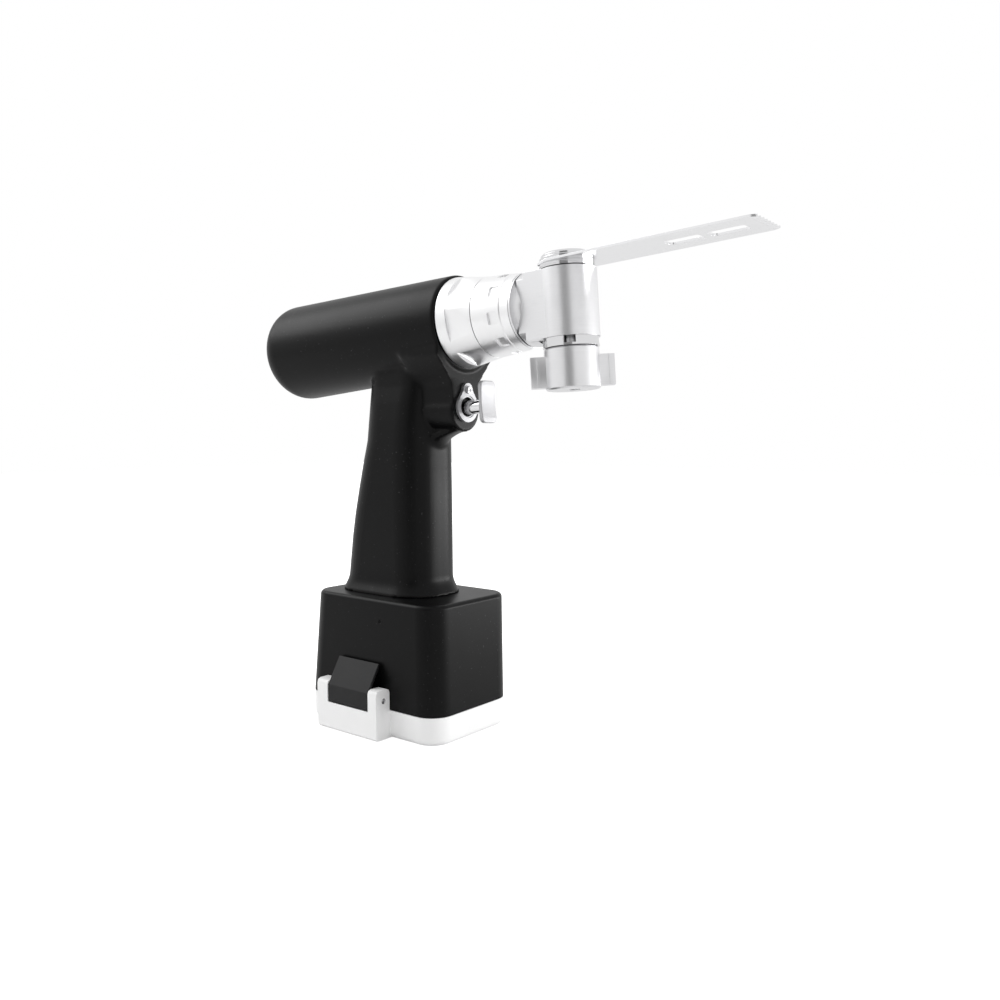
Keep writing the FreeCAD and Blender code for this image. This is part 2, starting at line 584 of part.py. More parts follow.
def make_lock_ring():
    """The ring that is turned to let the head go, with six flats that start at a step."""
    lip, land = "socket_tube_r + running_gap", "ball_centre_r + ball_r + running_gap"
    wall = "lock_ring_wall"
    body = turned("lock_ring_form", [
        ("lock_ring_start", lip), ("lock_ring_start", "lock_ring_rear_r"),
        ("lock_ring_end", "lock_ring_front_r"), ("lock_ring_end", lip),
        (f"lock_ring_end - {wall}", lip), (f"lock_ring_end - {wall}", "lock_inner_r"),
        ("ball_station + ball_land", "lock_inner_r"), ("ball_station + ball_land", land),
        ("ball_station - ball_land", land), ("ball_station - ball_land", "lock_inner_r"),
        (f"lock_ring_start + {wall}", "lock_inner_r"), (f"lock_ring_start + {wall}", lip)])
    flat = new_sketch(body, "flat_outline", "XZ_Plane")
    draw_outline(flat, [("lock_flat_start", "lock_flat_r"), ("lock_ring_end + 1", "lock_flat_r"),
                        ("lock_ring_end + 1", "lock_ring_rear_r + 2"), ("lock_flat_start", "lock_ring_rear_r + 2")])
    cut = pocket(body, "flat", flat, "4 * lock_ring_rear_r", middle=True)
    around(body, "flats", cut, flat, "H_Axis", "lock_flats")
    finish(body, "lock_ring", rolled(BARREL, size("lock_ring_roll")))


def make_head_sleeve():
    """The numbered stop ring of the head, with nine rectangular notches."""
    body = turned("head_sleeve_form", [
        ("index_start", "spigot_r + close_gap"), ("index_start", "index_rear_r"),
        ("index_step", "index_mid_r"), ("index_step + 0.4", "index_mid_r - index_step_depth"),
        ("index_end", "index_front_r"), ("index_end", "spigot_r + close_gap")])
    notch = new_sketch(body, "notch_outline", "XZ_Plane")
    top = "index_rear_r + 1"
    low = "index_rear_r - 0.9 - notch_depth"
    draw_outline(notch, [("notch_start", low), ("notch_start + notch_length", low),
                         ("notch_start + notch_length", top), ("notch_start", top)])
    cut = pocket(body, "notch", notch, "notch_width", middle=True)
    around(body, "notches", cut, notch, "H_Axis", "notches")
    finish(body, "head_sleeve", rolled(BARREL, size("index_roll")))


def make_head_housing():
    """Collar, flat-sided arm and upright barrel of the saw head, bored for shaft and spindle."""
    scoop = primitive("Torus", "collar_scoop", ("collar_end", "0", "0"), ALONG_X, Radius1="collar_r",
                      Radius2="collar_r - collar_neck_r")
    wide = primitive("Cylinder", "collar_form", ("index_end + 0.15", "0", "0"), ALONG_X, Radius="collar_r",
                     Height="collar_end - index_end - 0.15")
    collar = cut_from("collar", wide, [scoop])
    arm_round = primitive("Cylinder", "arm_round", ("index_end + 0.2", "0", "0"), ALONG_X, Radius="arm_r",
                          Height="arm_full_end - index_end")
    arm = doc.addObject("Part::Common", "arm_slice")
    arm.Base = arm_round
    arm.Tool = block("arm_slice_box", ("collar_curve + 0.6", "-arm_half_width", "-arm_r - 1"),
                     ("arm_full_end", "arm_half_width", "arm_r + 1"))
    web = block("arm_web", ("arm_full_end - 3", "-arm_half_width", "head_bottom"),
                ("head_reach", "arm_half_width", "head_top"))
    post = primitive("Cylinder", "head_post", ("head_reach", "0", "head_bottom"), Radius="head_r",
                     Height="head_top - head_bottom")
    tube = turned("spigot_tube", [
        ("spigot_rear", "0"), ("spigot_rear", "spigot_r"), ("ball_station - 2.5", "spigot_r"),
        ("ball_station - 2.5", "ball_centre_r - ball_r - 0.1"),
        ("ball_station + 2.5", "ball_centre_r - ball_r - 0.1"), ("ball_station + 2.5", "spigot_r"),
        ("index_end + 1", "spigot_r"), ("index_end + 1", "0")])
    solid = fused("head_solid", [collar, arm, web, post, tube])
    bore = primitive("Cylinder", "shaft_bore", ("spigot_rear - 1", "0", "0"), ALONG_X,
                     Radius="shaft_bore_r + close_gap", Height="cavity_start - spigot_rear + 1")
    cavity = block("fork_cavity", ("cavity_start - 0.5", "-cavity_half_width", "-cavity_half_height"),
                   ("head_reach", "cavity_half_width", "cavity_half_height"))
    well = primitive("Cylinder", "spindle_well", ("head_reach", "0", "head_bottom - 1"),
                     Radius="spindle_bearing_r + close_gap", Height="upper_bearing_top - head_bottom + 1.03")
    mouth = primitive("Cylinder", "spindle_mouth", ("head_reach", "0", "0"), Radius="top_hole_r",
                      Height="head_top + 1")
    housing = cut_from("head_bored", solid, [bore, cavity, well, mouth])
    finish(housing, "head_housing", BARREL)


def make_drive():
    """Motor coupling, drive shaft with its crank pin, and the bearings that carry them."""
    finish(turned("coupling_form", [
        ("coupling_rear", "motor_shaft_r + close_gap"), ("coupling_rear", "coupling_r"),
        ("coupling_front", "coupling_r"), ("coupling_front", "drive_shaft_r + close_gap"),
        ("drive_rear - 0.1", "drive_shaft_r + close_gap"), ("drive_rear - 0.1", "motor_shaft_r + close_gap")]),
        "coupling", BARREL)
    shaft = turned("drive_shaft_form", ring_profile("drive_rear", "crank_start", "0", "drive_shaft_r"))
    pin = new_sketch(shaft, "crank_pin_outline", "YZ_Plane", {"z": "crank_start"})
    draw_circle(pin, "-throw", "0", "crank_pin_r")
    pad(shaft, "crank_pin", pin, "crank_end - crank_start")
    finish(shaft, "drive_shaft", BARREL)
    crank = BARREL * Placement(Vector(0, -size("throw"), 0), Rotation())
    bearing("crank_bearing", crank, "crank_start + 0.6", "crank_bearing_width", "crank_pin_r + close_gap",
            "crank_bearing_r")
    bearing("shaft_bearing_rear", BARREL, "spigot_rear + 2", "shaft_bearing_width",
            "drive_shaft_r + close_gap", "shaft_bore_r")
    bearing("shaft_bearing_front", BARREL, "cavity_start - 1.5 - shaft_bearing_width", "shaft_bearing_width",
            "drive_shaft_r + close_gap", "shaft_bore_r")


# Spindle, fork and blade: all that swings

def make_spindle():
    finish(turned("spindle_form", [
        ("bolt_r + running_gap", "spindle_bottom"), ("spindle_r", "spindle_bottom"),
        ("spindle_r", "spindle_top"), ("bolt_r + running_gap", "spindle_top")], "V_Axis"), "spindle", SWUNG)
    inner = "spindle_r + close_gap"
    bearing("spindle_bearing_upper", HEAD, "upper_bearing_top - spindle_bearing_width",
            "spindle_bearing_width", inner, "spindle_bearing_r", "V_Axis")
    bearing("spindle_bearing_lower", HEAD, "lower_bearing_top - spindle_bearing_width",
            "spindle_bearing_width", inner, "spindle_bearing_r", "V_Axis")
    finish(turned("head_seal_form", post_profile("upper_bearing_top + 0.1", "head_top - 0.2",
                                                 "spindle_r + running_gap", "top_hole_r - close_gap"),
                  "V_Axis"), "head_seal", HEAD)
    fork = turned("fork_form", post_profile("-fork_thick / 2", "fork_thick / 2", inner, "fork_hub_r"), "V_Axis")
    for side in ("", "-"):
        name = "tine_left" if side else "tine_right"
        sketch = new_sketch(fork, name + "_outline", "XY_Plane")
        near, far = f"{side}fork_gap", f"{side}(fork_gap + tine_thick)"
        draw_outline(sketch, [("-crank_reach - tine_over", near), ("-fork_root", near),
                              ("-fork_root", far), ("-crank_reach - tine_over", far)])
        pad(fork, name, sketch, "fork_thick", middle=True)
    finish(fork, "fork", SWUNG)


def make_neck():
    """The slotted nut that closes the head's lower end."""
    body = turned("neck_form", [
        ("neck_bore_r", "head_bottom - 0.05 - neck_length"), ("neck_r", "head_bottom - 0.05 - neck_length"),
        ("neck_r", "head_bottom - 0.05"), ("spindle_bearing_r", "head_bottom - 0.05"),
        ("spindle_bearing_r", "lower_bearing_top - spindle_bearing_width - 0.05"),
        ("neck_bore_r", "lower_bearing_top - spindle_bearing_width - 0.05")], "V_Axis")
    slot = new_sketch(body, "neck_slot_outline", "XZ_Plane")
    low, high = "head_bottom - neck_slot_height", "head_bottom"
    draw_outline(slot, [("neck_r - 1.2", low), ("neck_r + 1", low), ("neck_r + 1", high), ("neck_r - 1.2", high)])
    cut = pocket(body, "neck_slot", slot, "neck_slot_width", middle=True)
    around(body, "neck_slots", cut, slot, "V_Axis", "neck_slots")
    finish(body, "neck_nut", turned_z(HEAD, size("neck_roll")))


def make_blade_clamp():
    """Flange with locating pins, blade, cap and draw bolt."""
    flange = turned("flange_form", [
        ("bolt_r + free_gap", "flange_top"), ("flange_r", "flange_top"), ("flange_r", "flange_bottom"),
        ("spindle_r + close_gap", "flange_bottom"), ("spindle_r + close_gap", "spindle_top + 0.05"),
        ("bolt_r + free_gap", "spindle_top + 0.05")], "V_Axis")
    seam = new_sketch(flange, "flange_line_outline", "XZ_Plane")
    draw_outline(seam, [("flange_r - 0.3", "flange_bottom + 0.9"), ("flange_r + 1", "flange_bottom + 0.9"),
                        ("flange_r + 1", "flange_bottom + 1.15"), ("flange_r - 0.3", "flange_bottom + 1.15")])
    line = flange.newObject("PartDesign::Groove", "flange_line")
    line.Profile = seam
    line.ReferenceAxis = (seam, ["V_Axis"])
    line.Angle = FULL_TURN
    doc.recompute()
    post = new_sketch(flange, "locating_pin_outline", "XY_Plane", {"z": "flange_top"})
    draw_circle(post, "locating_circle_r", "0", "locating_pin_r")
    pins = pad(flange, "locating_pin", post, "blade_thick + 0.8")
    around(flange, "locating_pins", pins, post, "N_Axis", "locating_pins")
    finish(flange, "blade_flange", turned_z(SWUNG, 45))
    make_blade()
    cap = turned("cap_form", [
        ("bolt_r + close_gap", "cap_bottom"), ("cap_r", "cap_bottom"), ("cap_r", "cap_bottom + 1.5"),
        ("cap_r - 0.7", "cap_bottom + 1.75"), ("cap_r - 0.7", "cap_bottom + 2.7"),
        ("cap_r - 1.7", "cap_bottom + cap_height"), ("cap_r - 4.2", "cap_bottom + cap_height"),
        ("cap_r - 4.7", "cap_bottom + cap_height - 0.5"), ("bolt_r + close_gap", "cap_bottom + cap_height - 0.5")],
        "V_Axis")
    hole = new_sketch(cap, "cap_hole_outline", "XY_Plane", {"z": "cap_bottom"})
    draw_circle(hole, "locating_circle_r", "0", "locating_pin_r + free_gap")
    cut = pocket(cap, "cap_hole", hole, "1.2", reverse=True)
    around(cap, "cap_holes", cut, hole, "N_Axis", "locating_pins")
    finish(cap, "clamp_cap", turned_z(SWUNG, 45))
    finish(turned("draw_bolt_form", [
        ("0", "bolt_bottom"), ("bolt_r", "bolt_bottom"), ("bolt_r", "cap_bottom + cap_height - 0.45"),
        ("bolt_r + 1.4", "cap_bottom + cap_height - 0.45"), ("bolt_r + 1.4", "cap_bottom + cap_height"),
        ("0", "cap_bottom + cap_height")], "V_Axis"), "draw_bolt", SWUNG)


def make_blade():
    body = new_body("blade_form")
    sketch = new_sketch(body, "blade_outline", "XY_Plane", {"z": "flange_top + 0.05"})
    tip, side, back = "blade_reach", "blade_half_width", "-blade_back"
    gullet = "blade_reach - tooth_depth"
    pitch = "(2 * blade_half_width / blade_teeth)"
    corners = [(back, "-blade_hub_half_width"), ("-blade_hub_taper", f"-{side}")]
    for i in range(SIZES["blade_teeth"]):
        corners.append((gullet, f"-{side} + {i} * {pitch}"))
        corners.append((tip, f"-{side} + {i} * {pitch} + 0.5 * {pitch}"))
    corners.append((gullet, side))
    corners.append(("-blade_hub_taper", side))
    corners.append((back, "blade_hub_half_width"))
    draw_outline(sketch, corners)
    pad(body, "blade_plate", sketch, "blade_thick")
    hub = new_sketch(body, "blade_hub_outline", "XY_Plane", {"z": "flange_top"})
    draw_circle(hub, "0", "0", "bolt_r + 1.2")
    pocket(body, "blade_hub", hub, "blade_thick + 1", reverse=True)
    mouth = new_sketch(body, "blade_mouth_outline", "XY_Plane", {"z": "flange_top"})
    reach = "bolt_r + free_gap"
    draw_outline(mouth, [("-blade_back - 1", f"-({reach})"), ("0", f"-({reach})"), ("0", reach),
                         ("-blade_back - 1", reach)])
    pocket(body, "blade_mouth", mouth, "blade_thick + 1", reverse=True)
    spot = new_sketch(body, "locating_hole_outline", "XY_Plane", {"z": "flange_top"})
    draw_circle(spot, "locating_circle_r * cos(45)", "locating_circle_r * sin(45)", "locating_pin_r + free_gap")
    cut = pocket(body, "locating_hole", spot, "blade_thick + 1", reverse=True)
    around(body, "locating_holes", cut, spot, "N_Axis", "locating_pins")
    for i, (low, high) in enumerate((("slot_near", "slot_near + slot_length"), ("slot_far", "slot_far + slot_length"))):
        window = new_sketch(body, f"window_outline_{i}", "XY_Plane", {"z": "flange_top"})
        draw_rounded(window, low, high, "-slot_half_width", "slot_half_width", "slot_round")
        pocket(body, f"window_{i}", window, "blade_thick + 1", reverse=True)
    finish(body, "blade", SWUNG)


def make_knob():
    """The clamp knob, with two lugs that have a groove on either side."""
    top, low = "knob_top", "knob_bottom"
    edge = "knob_edge_bevel"
    body = turned("knob_form", [
        ("bolt_r + close_gap", low), (f"knob_r - {edge}", low), ("knob_r", f"{low} + {edge}"),
        ("knob_r", f"{top} - {edge}"), (f"knob_r - {edge}", top), ("bolt_r + close_gap", top)], "V_Axis")
    lug = new_sketch(body, "lug_outline", "XY_Plane", {"z": "lug_bottom"})
    draw_outline(lug, [("knob_r - 3", "-lug_half_width"), ("lug_reach", "-lug_half_width + 0.6"),
                       ("lug_reach", "lug_half_width - 0.6"), ("knob_r - 3", "lug_half_width")])
    grip = pad(body, "lug", lug, "lug_top - lug_bottom")
    around(body, "lugs", grip, lug, "N_Axis", "2")
    flute = new_sketch(body, "flute_outline", "XY_Plane", {"z": "knob_bottom - 1"})
    draw_circle(flute, "knob_r + 0.35", "lug_half_width + 1.25", "1.25")
    draw_circle(flute, "knob_r + 0.35", "-lug_half_width - 1.25", "1.25")
    cut = pocket(body, "flute", flute, "lug_top - knob_bottom + 1", reverse=True)
    around(body, "flutes", cut, flute, "N_Axis", "2")
    finish(body, "knob", turned_z(SWUNG, size("knob_roll")))


# Trigger

def make_trigger():
    stem = turned("stem_form", [
        ("stem_start", "0"), ("stem_start", "stem_collar_r"), ("stem_start + stem_collar_length", "stem_collar_r"),
        ("stem_start + stem_collar_length", "stem_r"), ("pad_start + 1.4", "stem_r"), ("pad_start + 1.4", "0")])
    finish(stem, "trigger_stem", STEM)
    body = new_body("pad_form")
    sketch = new_sketch(body, "pad_outline", "YZ_Plane", {"z": "pad_start"})
    draw_rounded(sketch, "-pad_width / 2", "pad_width / 2", "-pad_height / 2 - pad_drop",
                 "pad_height / 2 - pad_drop", "pad_corner_r")
    pad(body, "pad_block", sketch, "pad_thick")
    hollow = new_sketch(body, "pad_hollow_outline", "XZ_Plane")
    draw_circle(hollow, "pad_start + pad_thick + pad_hollow_r - pad_hollow_depth", "-pad_drop", "pad_hollow_r")
    pocket(body, "pad_hollow", hollow, "2 * pad_width", middle=True)
    socket = new_sketch(body, "pad_socket_outline", "YZ_Plane", {"z": "pad_start - 1"})
    draw_circle(socket, "0", "0", "stem_r + close_gap")
    pocket(body, "pad_socket", socket, "2.45", reverse=True)
    finish(body, "finger_pad", STEM)
    finish(turned("bush_form", ring_profile("bush_start", "bush_start + bush_length", "stem_r + running_gap",
                                            "bush_r")), "trigger_bush", STEM)
    make_guide_plate()
    make_spring()


def make_guide_plate():
    body = new_body("plate_form")
    shift = {"z": "boss_face_x + 0.05"}
    rise = "plate_z + plate_screw_rise"
    disc = new_sketch(body, "plate_disc_outline", "YZ_Plane", shift)
    draw_circle(disc, "0", "plate_z", "plate_r")
    pad(body, "plate_disc", disc, "plate_thick")
    ear = new_sketch(body, "plate_ear_outline", "YZ_Plane", shift)
    draw_circle(ear, "0", rise, "plate_ear_r")
    pad(body, "plate_ear", ear, "plate_thick")
    web = new_sketch(body, "plate_web_outline", "YZ_Plane", shift)
    draw_outline(web, [("-plate_r * 0.72", "plate_z + plate_r * 0.69"), ("-plate_ear_r * 0.98", rise),
                       ("plate_ear_r * 0.98", rise), ("plate_r * 0.72", "plate_z + plate_r * 0.69")])
    pad(body, "plate_web", web, "plate_thick")
    hole = new_sketch(body, "plate_bore_outline", "YZ_Plane", {"z": "boss_face_x"})
    draw_circle(hole, "0", "plate_z", "plate_bore_r")
    pocket(body, "plate_bore", hole, "plate_thick + 1", reverse=True)
    step = new_sketch(body, "plate_step_outline", "YZ_Plane", {"z": "boss_face_x + plate_thick - 0.5"})
    draw_circle(step, "0", "plate_z", "plate_bore_r + 0.7")
    pocket(body, "plate_step", step, "1", reverse=True)
    sink = new_sketch(body, "plate_sink_outline", "YZ_Plane", {"z": "boss_face_x"})
    draw_circle(sink, "0", rise, "plate_screw_r + free_gap")
    pocket(body, "plate_sink", sink, "plate_thick + 1", reverse=True)
    finish(body, "guide_plate")
    screw = turned("plate_screw_form", [
        ("-plate_screw_length", "0"), ("-plate_screw_length", "plate_screw_r"), ("plate_thick + 0.1", "plate_screw_r"),
        ("plate_thick + 0.1", "plate_screw_head_r"), ("plate_thick + 1.3", "plate_screw_head_r"),
        ("plate_thick + 1.3", "0")])
    hexagon = new_sketch(screw, "screw_socket_outline", "YZ_Plane", {"z": "plate_thick + 0.4"})
    draw_polygon(hexagon, "0.85", 6)
    pocket(screw, "screw_socket", hexagon, "1.5", reverse=True)
    finish(screw, "guide_plate_screw", Placement(
        Vector(size("boss_face_x"), 0, size(rise)), Rotation()))


def draw_polygon(sketch, radius, count):
    """A regular polygon about the sketch's origin."""
    step = FULL_TURN / count
    draw_outline(sketch, [(f"{radius} * cos({i * step})", f"{radius} * sin({i * step})") for i in range(count)])


def make_spring():
    """The trigger's return spring, between the stem's collar and the sensor."""
    coil = primitive("Helix", "spring_path", Pitch="spring_length / spring_turns * 0.94",
                     Height="spring_length * 0.94", Radius="spring_r")
    doc.recompute()
    wire = primitive("Circle", "spring_wire", ("spring_r", "0", "0"), Rotation(Vector(1, 0, 0), 90),
                     Radius="spring_wire_r")
    doc.recompute()
    sweep = doc.addObject("Part::Sweep", "spring_coil")
    sweep.Sections = [wire]
    sweep.Spine = (coil, ["Edge1"])
    sweep.Solid = True
    sweep.Frenet = True
    doc.recompute()
    finish(sweep, "trigger_spring", STEM * Placement(
        Vector(size("stem_start - spring_length + spring_wire_r"), 0, 0), ALONG_X))


# Electronics in the grip

def make_electronics():
    board = new_body("board_form")
    sketch = new_sketch(board, "board_outline", "XZ_Plane")
    draw_outline(sketch, [("board_x", "board_bottom"), ("board_x + board_thick", "board_bottom"),
                          ("board_x + board_thick", "board_top"), ("board_x", "board_top")])
    pad(board, "board_plate", sketch, "2 * channel_half_width - 0.2", middle=True)
    for i in range(SIZES["board_chips"]):
        chip = new_sketch(board, f"chip_outline_{i}", "XZ_Plane")
        low = f"board_bottom + 8 + {i} * 14"
        draw_outline(chip, [("board_x - 2.2", low), ("board_x", low), ("board_x", f"{low} + 9"),
                            ("board_x - 2.2", f"{low} + 9")])
        pad(board, f"chip_{i}", chip, "9", middle=True)
    finish(board, "control_board")
    sensor = block("sensor_form", ("board_x + board_thick + 0.05", "-sensor_half", "sensor_z - sensor_half"),
                   ("sensor_face_x", "sensor_half", "sensor_z + sensor_half"))
    finish(sensor, "trigger_sensor")
    base = block("contact_base", ("-contact_half_length", "-contact_half_width", "contact_bottom"),
                 ("contact_half_length", "contact_half_width", "box_top - box_wall - 0.05"))
    riser = block("contact_riser", ("-riser_half_length + board_x + 0.8", "-riser_half_width", "box_top - 4"),
                  ("riser_half_length + board_x + 0.8", "riser_half_width", "board_bottom - 0.05"))
    holes = [primitive("Cylinder", f"contact_hole_{i}", (spot, "0", "contact_bottom - 1"),
                       Radius="contact_pin_r + close_gap", Height="4") for i, spot in enumerate(CONTACT_SPOTS)]
    finish(cut_from("contact_block_form", fused("contact_solid", [base, riser]), holes), "contact_block")
    pins = [primitive("Cylinder", f"contact_pin_{i}", (spot, "0", "contact_pad_top + 0.05"),
                      Radius="contact_pin_r", Height="contact_bottom + 2.8 - contact_pad_top")
            for i, spot in enumerate(CONTACT_SPOTS)]
    finish(fused("contact_pin_set", pins), "contact_pins")
    screws = []
    for i, (x, y) in enumerate(SCREW_SPOTS):
        shank = primitive("Cylinder", f"screw_shank_{i}", (x, y, "box_top - box_wall - 0.5"),
                          Radius="screw_r", Height="screw_length")
        head = primitive("Cylinder", f"screw_head_{i}", (x, y, "box_top - box_wall - screw_head_height"),
                         Radius="screw_head_r", Height="screw_head_height - 0.05")
        screws += [shank, head]
    finish(fused("screw_set", screws), "housing_screws")


CONTACT_SPOTS = [f"{step} * contact_pitch" for step in (-1.5, -0.5, 0.5, 1.5)]


# Battery box, its cover and its latch

def box_section(body, name, height, share, inset="0"):
    """The box's outline at a height; share runs from 0 at the seam to 1 at the top."""
    inset = f"({inset})"
    sketch = new_sketch(body, name, "XY_Plane", {"z": height})
    draw_rounded(sketch, f"-box_half_length + box_rear_lean * {share} + {inset}",
                 f"box_half_length - box_front_lean * {share} - {inset}",
                 f"-box_half_width + {inset}", f"box_half_width - {inset}", f"box_corner_r - {inset}")
    return sketch


def make_housing():
    outer = new_body("box_form")
    sections = [box_section(outer, "box_low", "cover_height + seam_gap", 0)]
    for angle in EDGE_STEPS:
        sections.append(box_section(outer, f"box_edge_{len(sections)}",
                                    f"box_top - box_round * (1 - sin({angle}))", 1,
                                    f"box_round * (1 - cos({angle}))"))
    loft(outer, "box_loft", sections, ruled=True)
    inner = new_body("bay_form")
    loft(inner, "bay_loft", [box_section(inner, "bay_low", "cover_height - 1", 0, "box_wall"),
                             box_section(inner, "bay_high", "box_top - box_wall", 1, "box_wall")])
    riser = block("riser_hole", ("-riser_half_length + board_x + 0.7", "-riser_half_width - 0.1", "box_top - 5"),
                  ("riser_half_length + board_x + 0.9", "riser_half_width + 0.1", "box_top + 1"))
    holes = [primitive("Cylinder", f"roof_hole_{i}", (x, y, "box_top - box_wall - 1"),
                       Radius="screw_r + free_gap", Height="box_wall + 2")
             for i, (x, y) in enumerate(SCREW_SPOTS)]
    shell = cut_from("box_shell", outer, [inner, riser] + holes)
    lugs = [primitive("Cylinder", f"box_knuckle_{i}", (start, "hinge_y", "hinge_z"), ALONG_X, Radius="knuckle_r",
                      Height="knuckle_length") for i, start in enumerate(KNUCKLE_STARTS)]
    keep = [block(f"knuckle_web_{i}", (start, "box_half_width - 1", "hinge_z"),
                  (f"{start} + knuckle_length", "hinge_y + knuckle_r", "hinge_z + knuckle_r + 1.6"))
            for i, start in enumerate(KNUCKLE_STARTS)]
    solid = fused("box_with_knuckles", [shell] + lugs + keep)
    clear = primitive("Cylinder", "cover_knuckle_clearance", ("-cover_knuckle_half - free_gap", "hinge_y", "hinge_z"),
                      ALONG_X, Radius="knuckle_r + free_gap", Height="2 * cover_knuckle_half + 2 * free_gap")
    bore = hinge_bore("box_hinge_bore", "close_gap")
    dimple = primitive("Sphere", "wall_dimple", ("dimple_x", "-box_half_width - 0.9", "dimple_z"), Radius="1.5")
    finish(cut_from("box_finished", solid, [clear, bore, dimple]), "battery_housing")
    finish(primitive("Cylinder", "hinge_pin_form", ("-hinge_pin_half", "hinge_y", "hinge_z"), ALONG_X,
                     Radius="hinge_pin_r", Height="2 * hinge_pin_half"), "cover_hinge_pin")


EDGE_STEPS = (0, 22.5, 45, 67.5, 90)
KNUCKLE_STARTS = ("-cover_knuckle_half - free_gap - knuckle_length", "cover_knuckle_half + free_gap")


def hinge_bore(name, gap):
    return primitive("Cylinder", name, ("-box_half_length", "hinge_y", "hinge_z"), ALONG_X,
                     Radius=f"hinge_pin_r + {gap}", Height="2 * box_half_length")


def make_cover():
    """White tray that closes the box from below, with two ears for the latch."""
    tray = new_body("tray_form")
    pad(tray, "tray_block", box_section(tray, "tray_outline", "0", 0), "cover_height")
    round_edges(tray, "tray_edge", "cover_edge_round", lambda edge: is_level(edge, 0))
    spigot = box_section(tray, "spigot_outline", "cover_height - 1", 0, "box_wall + spigot_gap")
    pad(tray, "spigot", spigot, "spigot_rise + 1")
    hollow = box_section(tray, "hollow_outline", "cover_floor", 0, "box_wall + spigot_gap + spigot_wall")
    pocket(tray, "hollow", hollow, "cover_height + spigot_rise", reverse=True)
    ears = new_body("ear_form")
    pad_sketch = new_sketch(ears, "latch_pad_outline", "YZ_Plane")
    face, back = "-latch_pad_reach", "-box_half_width - free_gap"
    draw_outline(pad_sketch, [("-box_half_width + 0.8", "0.4"), (f"{face} + 1", "0.4"), (face, "1.4"),
                              (face, "ear_height - 2"), (f"{face} + 0.6", "ear_height - 0.6"),
                              (f"{face} + 2", "ear_height"), (f"{back} - 2", "ear_height"),
                              (f"{back} - 0.6", "ear_height - 0.6"), (back, "ear_height - 2"),
                              (back, "cover_height - 0.2"), ("-box_half_width + 0.8", "cover_height - 0.2")])
    pad(ears, "latch_pad", pad_sketch, "2 * latch_pad_half", middle=True)
    notch = new_sketch(ears, "latch_notch_outline", "XZ_Plane")
    shift = "notch_x - latch_pad_x"
    draw_outline(notch, [(f"{shift} - notch_half", "notch_floor"), (f"{shift} + notch_half", "notch_floor"),
                         (f"{shift} + notch_half", "ear_height + 1"), (f"{shift} - notch_half", "ear_height + 1")])
    pocket(ears, "latch_notch", notch, "4 * latch_pad_reach", middle=True)
    sweep = new_sketch(ears, "latch_sweep_outline", "YZ_Plane", {"z": f"{shift} - notch_half"})
    draw_circle(sweep, "latch_pin_y", "latch_pin_z", "notch_sweep_r")
    pocket(ears, "latch_sweep", sweep, "2 * notch_half", reverse=True)
    ears.setExpression(".Placement.Base.x", bound("latch_pad_x"))
    lug = primitive("Cylinder", "cover_knuckle", ("-cover_knuckle_half", "hinge_y", "hinge_z"), ALONG_X,
                    Radius="knuckle_r", Height="2 * cover_knuckle_half")
    web = block("cover_knuckle_web", ("-cover_knuckle_half", "box_half_width - 1", "hinge_z - knuckle_r - 1.6"),
                ("cover_knuckle_half", "hinge_y + knuckle_r", "hinge_z"))
    solid = fused("cover_solid", [tray, ears, lug, web])
    gaps = [primitive("Cylinder", f"box_knuckle_clearance_{i}", (f"{start} - free_gap", "hinge_y", "hinge_z"),
                      ALONG_X, Radius="knuckle_r + free_gap", Height="knuckle_length + 2 * free_gap")
            for i, start in enumerate(KNUCKLE_STARTS)]
    pin_bore = primitive("Cylinder", "latch_pin_bore", ("latch_pad_x - 2 * latch_pad_half", "latch_pin_y", "latch_pin_z"),
                         ALONG_X, Radius="latch_pin_r + close_gap", Height="4 * latch_pad_half")
    finish(cut_from("cover_finished", solid, gaps + [hinge_bore("cover_hinge_bore", "running_gap"), pin_bore]),
           "battery_cover")
    make_latch()
    seal = new_body("seal_form")
    ring = box_section(seal, "seal_outline", "cover_height + 0.05", 0, "seal_inset")
    pad(seal, "seal_ring", ring, "seam_gap - 0.1")
    void = box_section(seal, "seal_void_outline", "cover_height - 1", 0, "box_wall + 0.1")
    pocket(seal, "seal_void", void, "seam_gap + 2", reverse=True)
    gap = block("seal_hinge_gap", ("-cover_knuckle_half - knuckle_length - 1", "hinge_y - knuckle_r - 0.8", "0"),
                ("cover_knuckle_half + knuckle_length + 1", "hinge_y + knuckle_r", "hinge_z + 5"))
    finish(cut_from("seal_finished", seal, [gap]), "cover_seal")


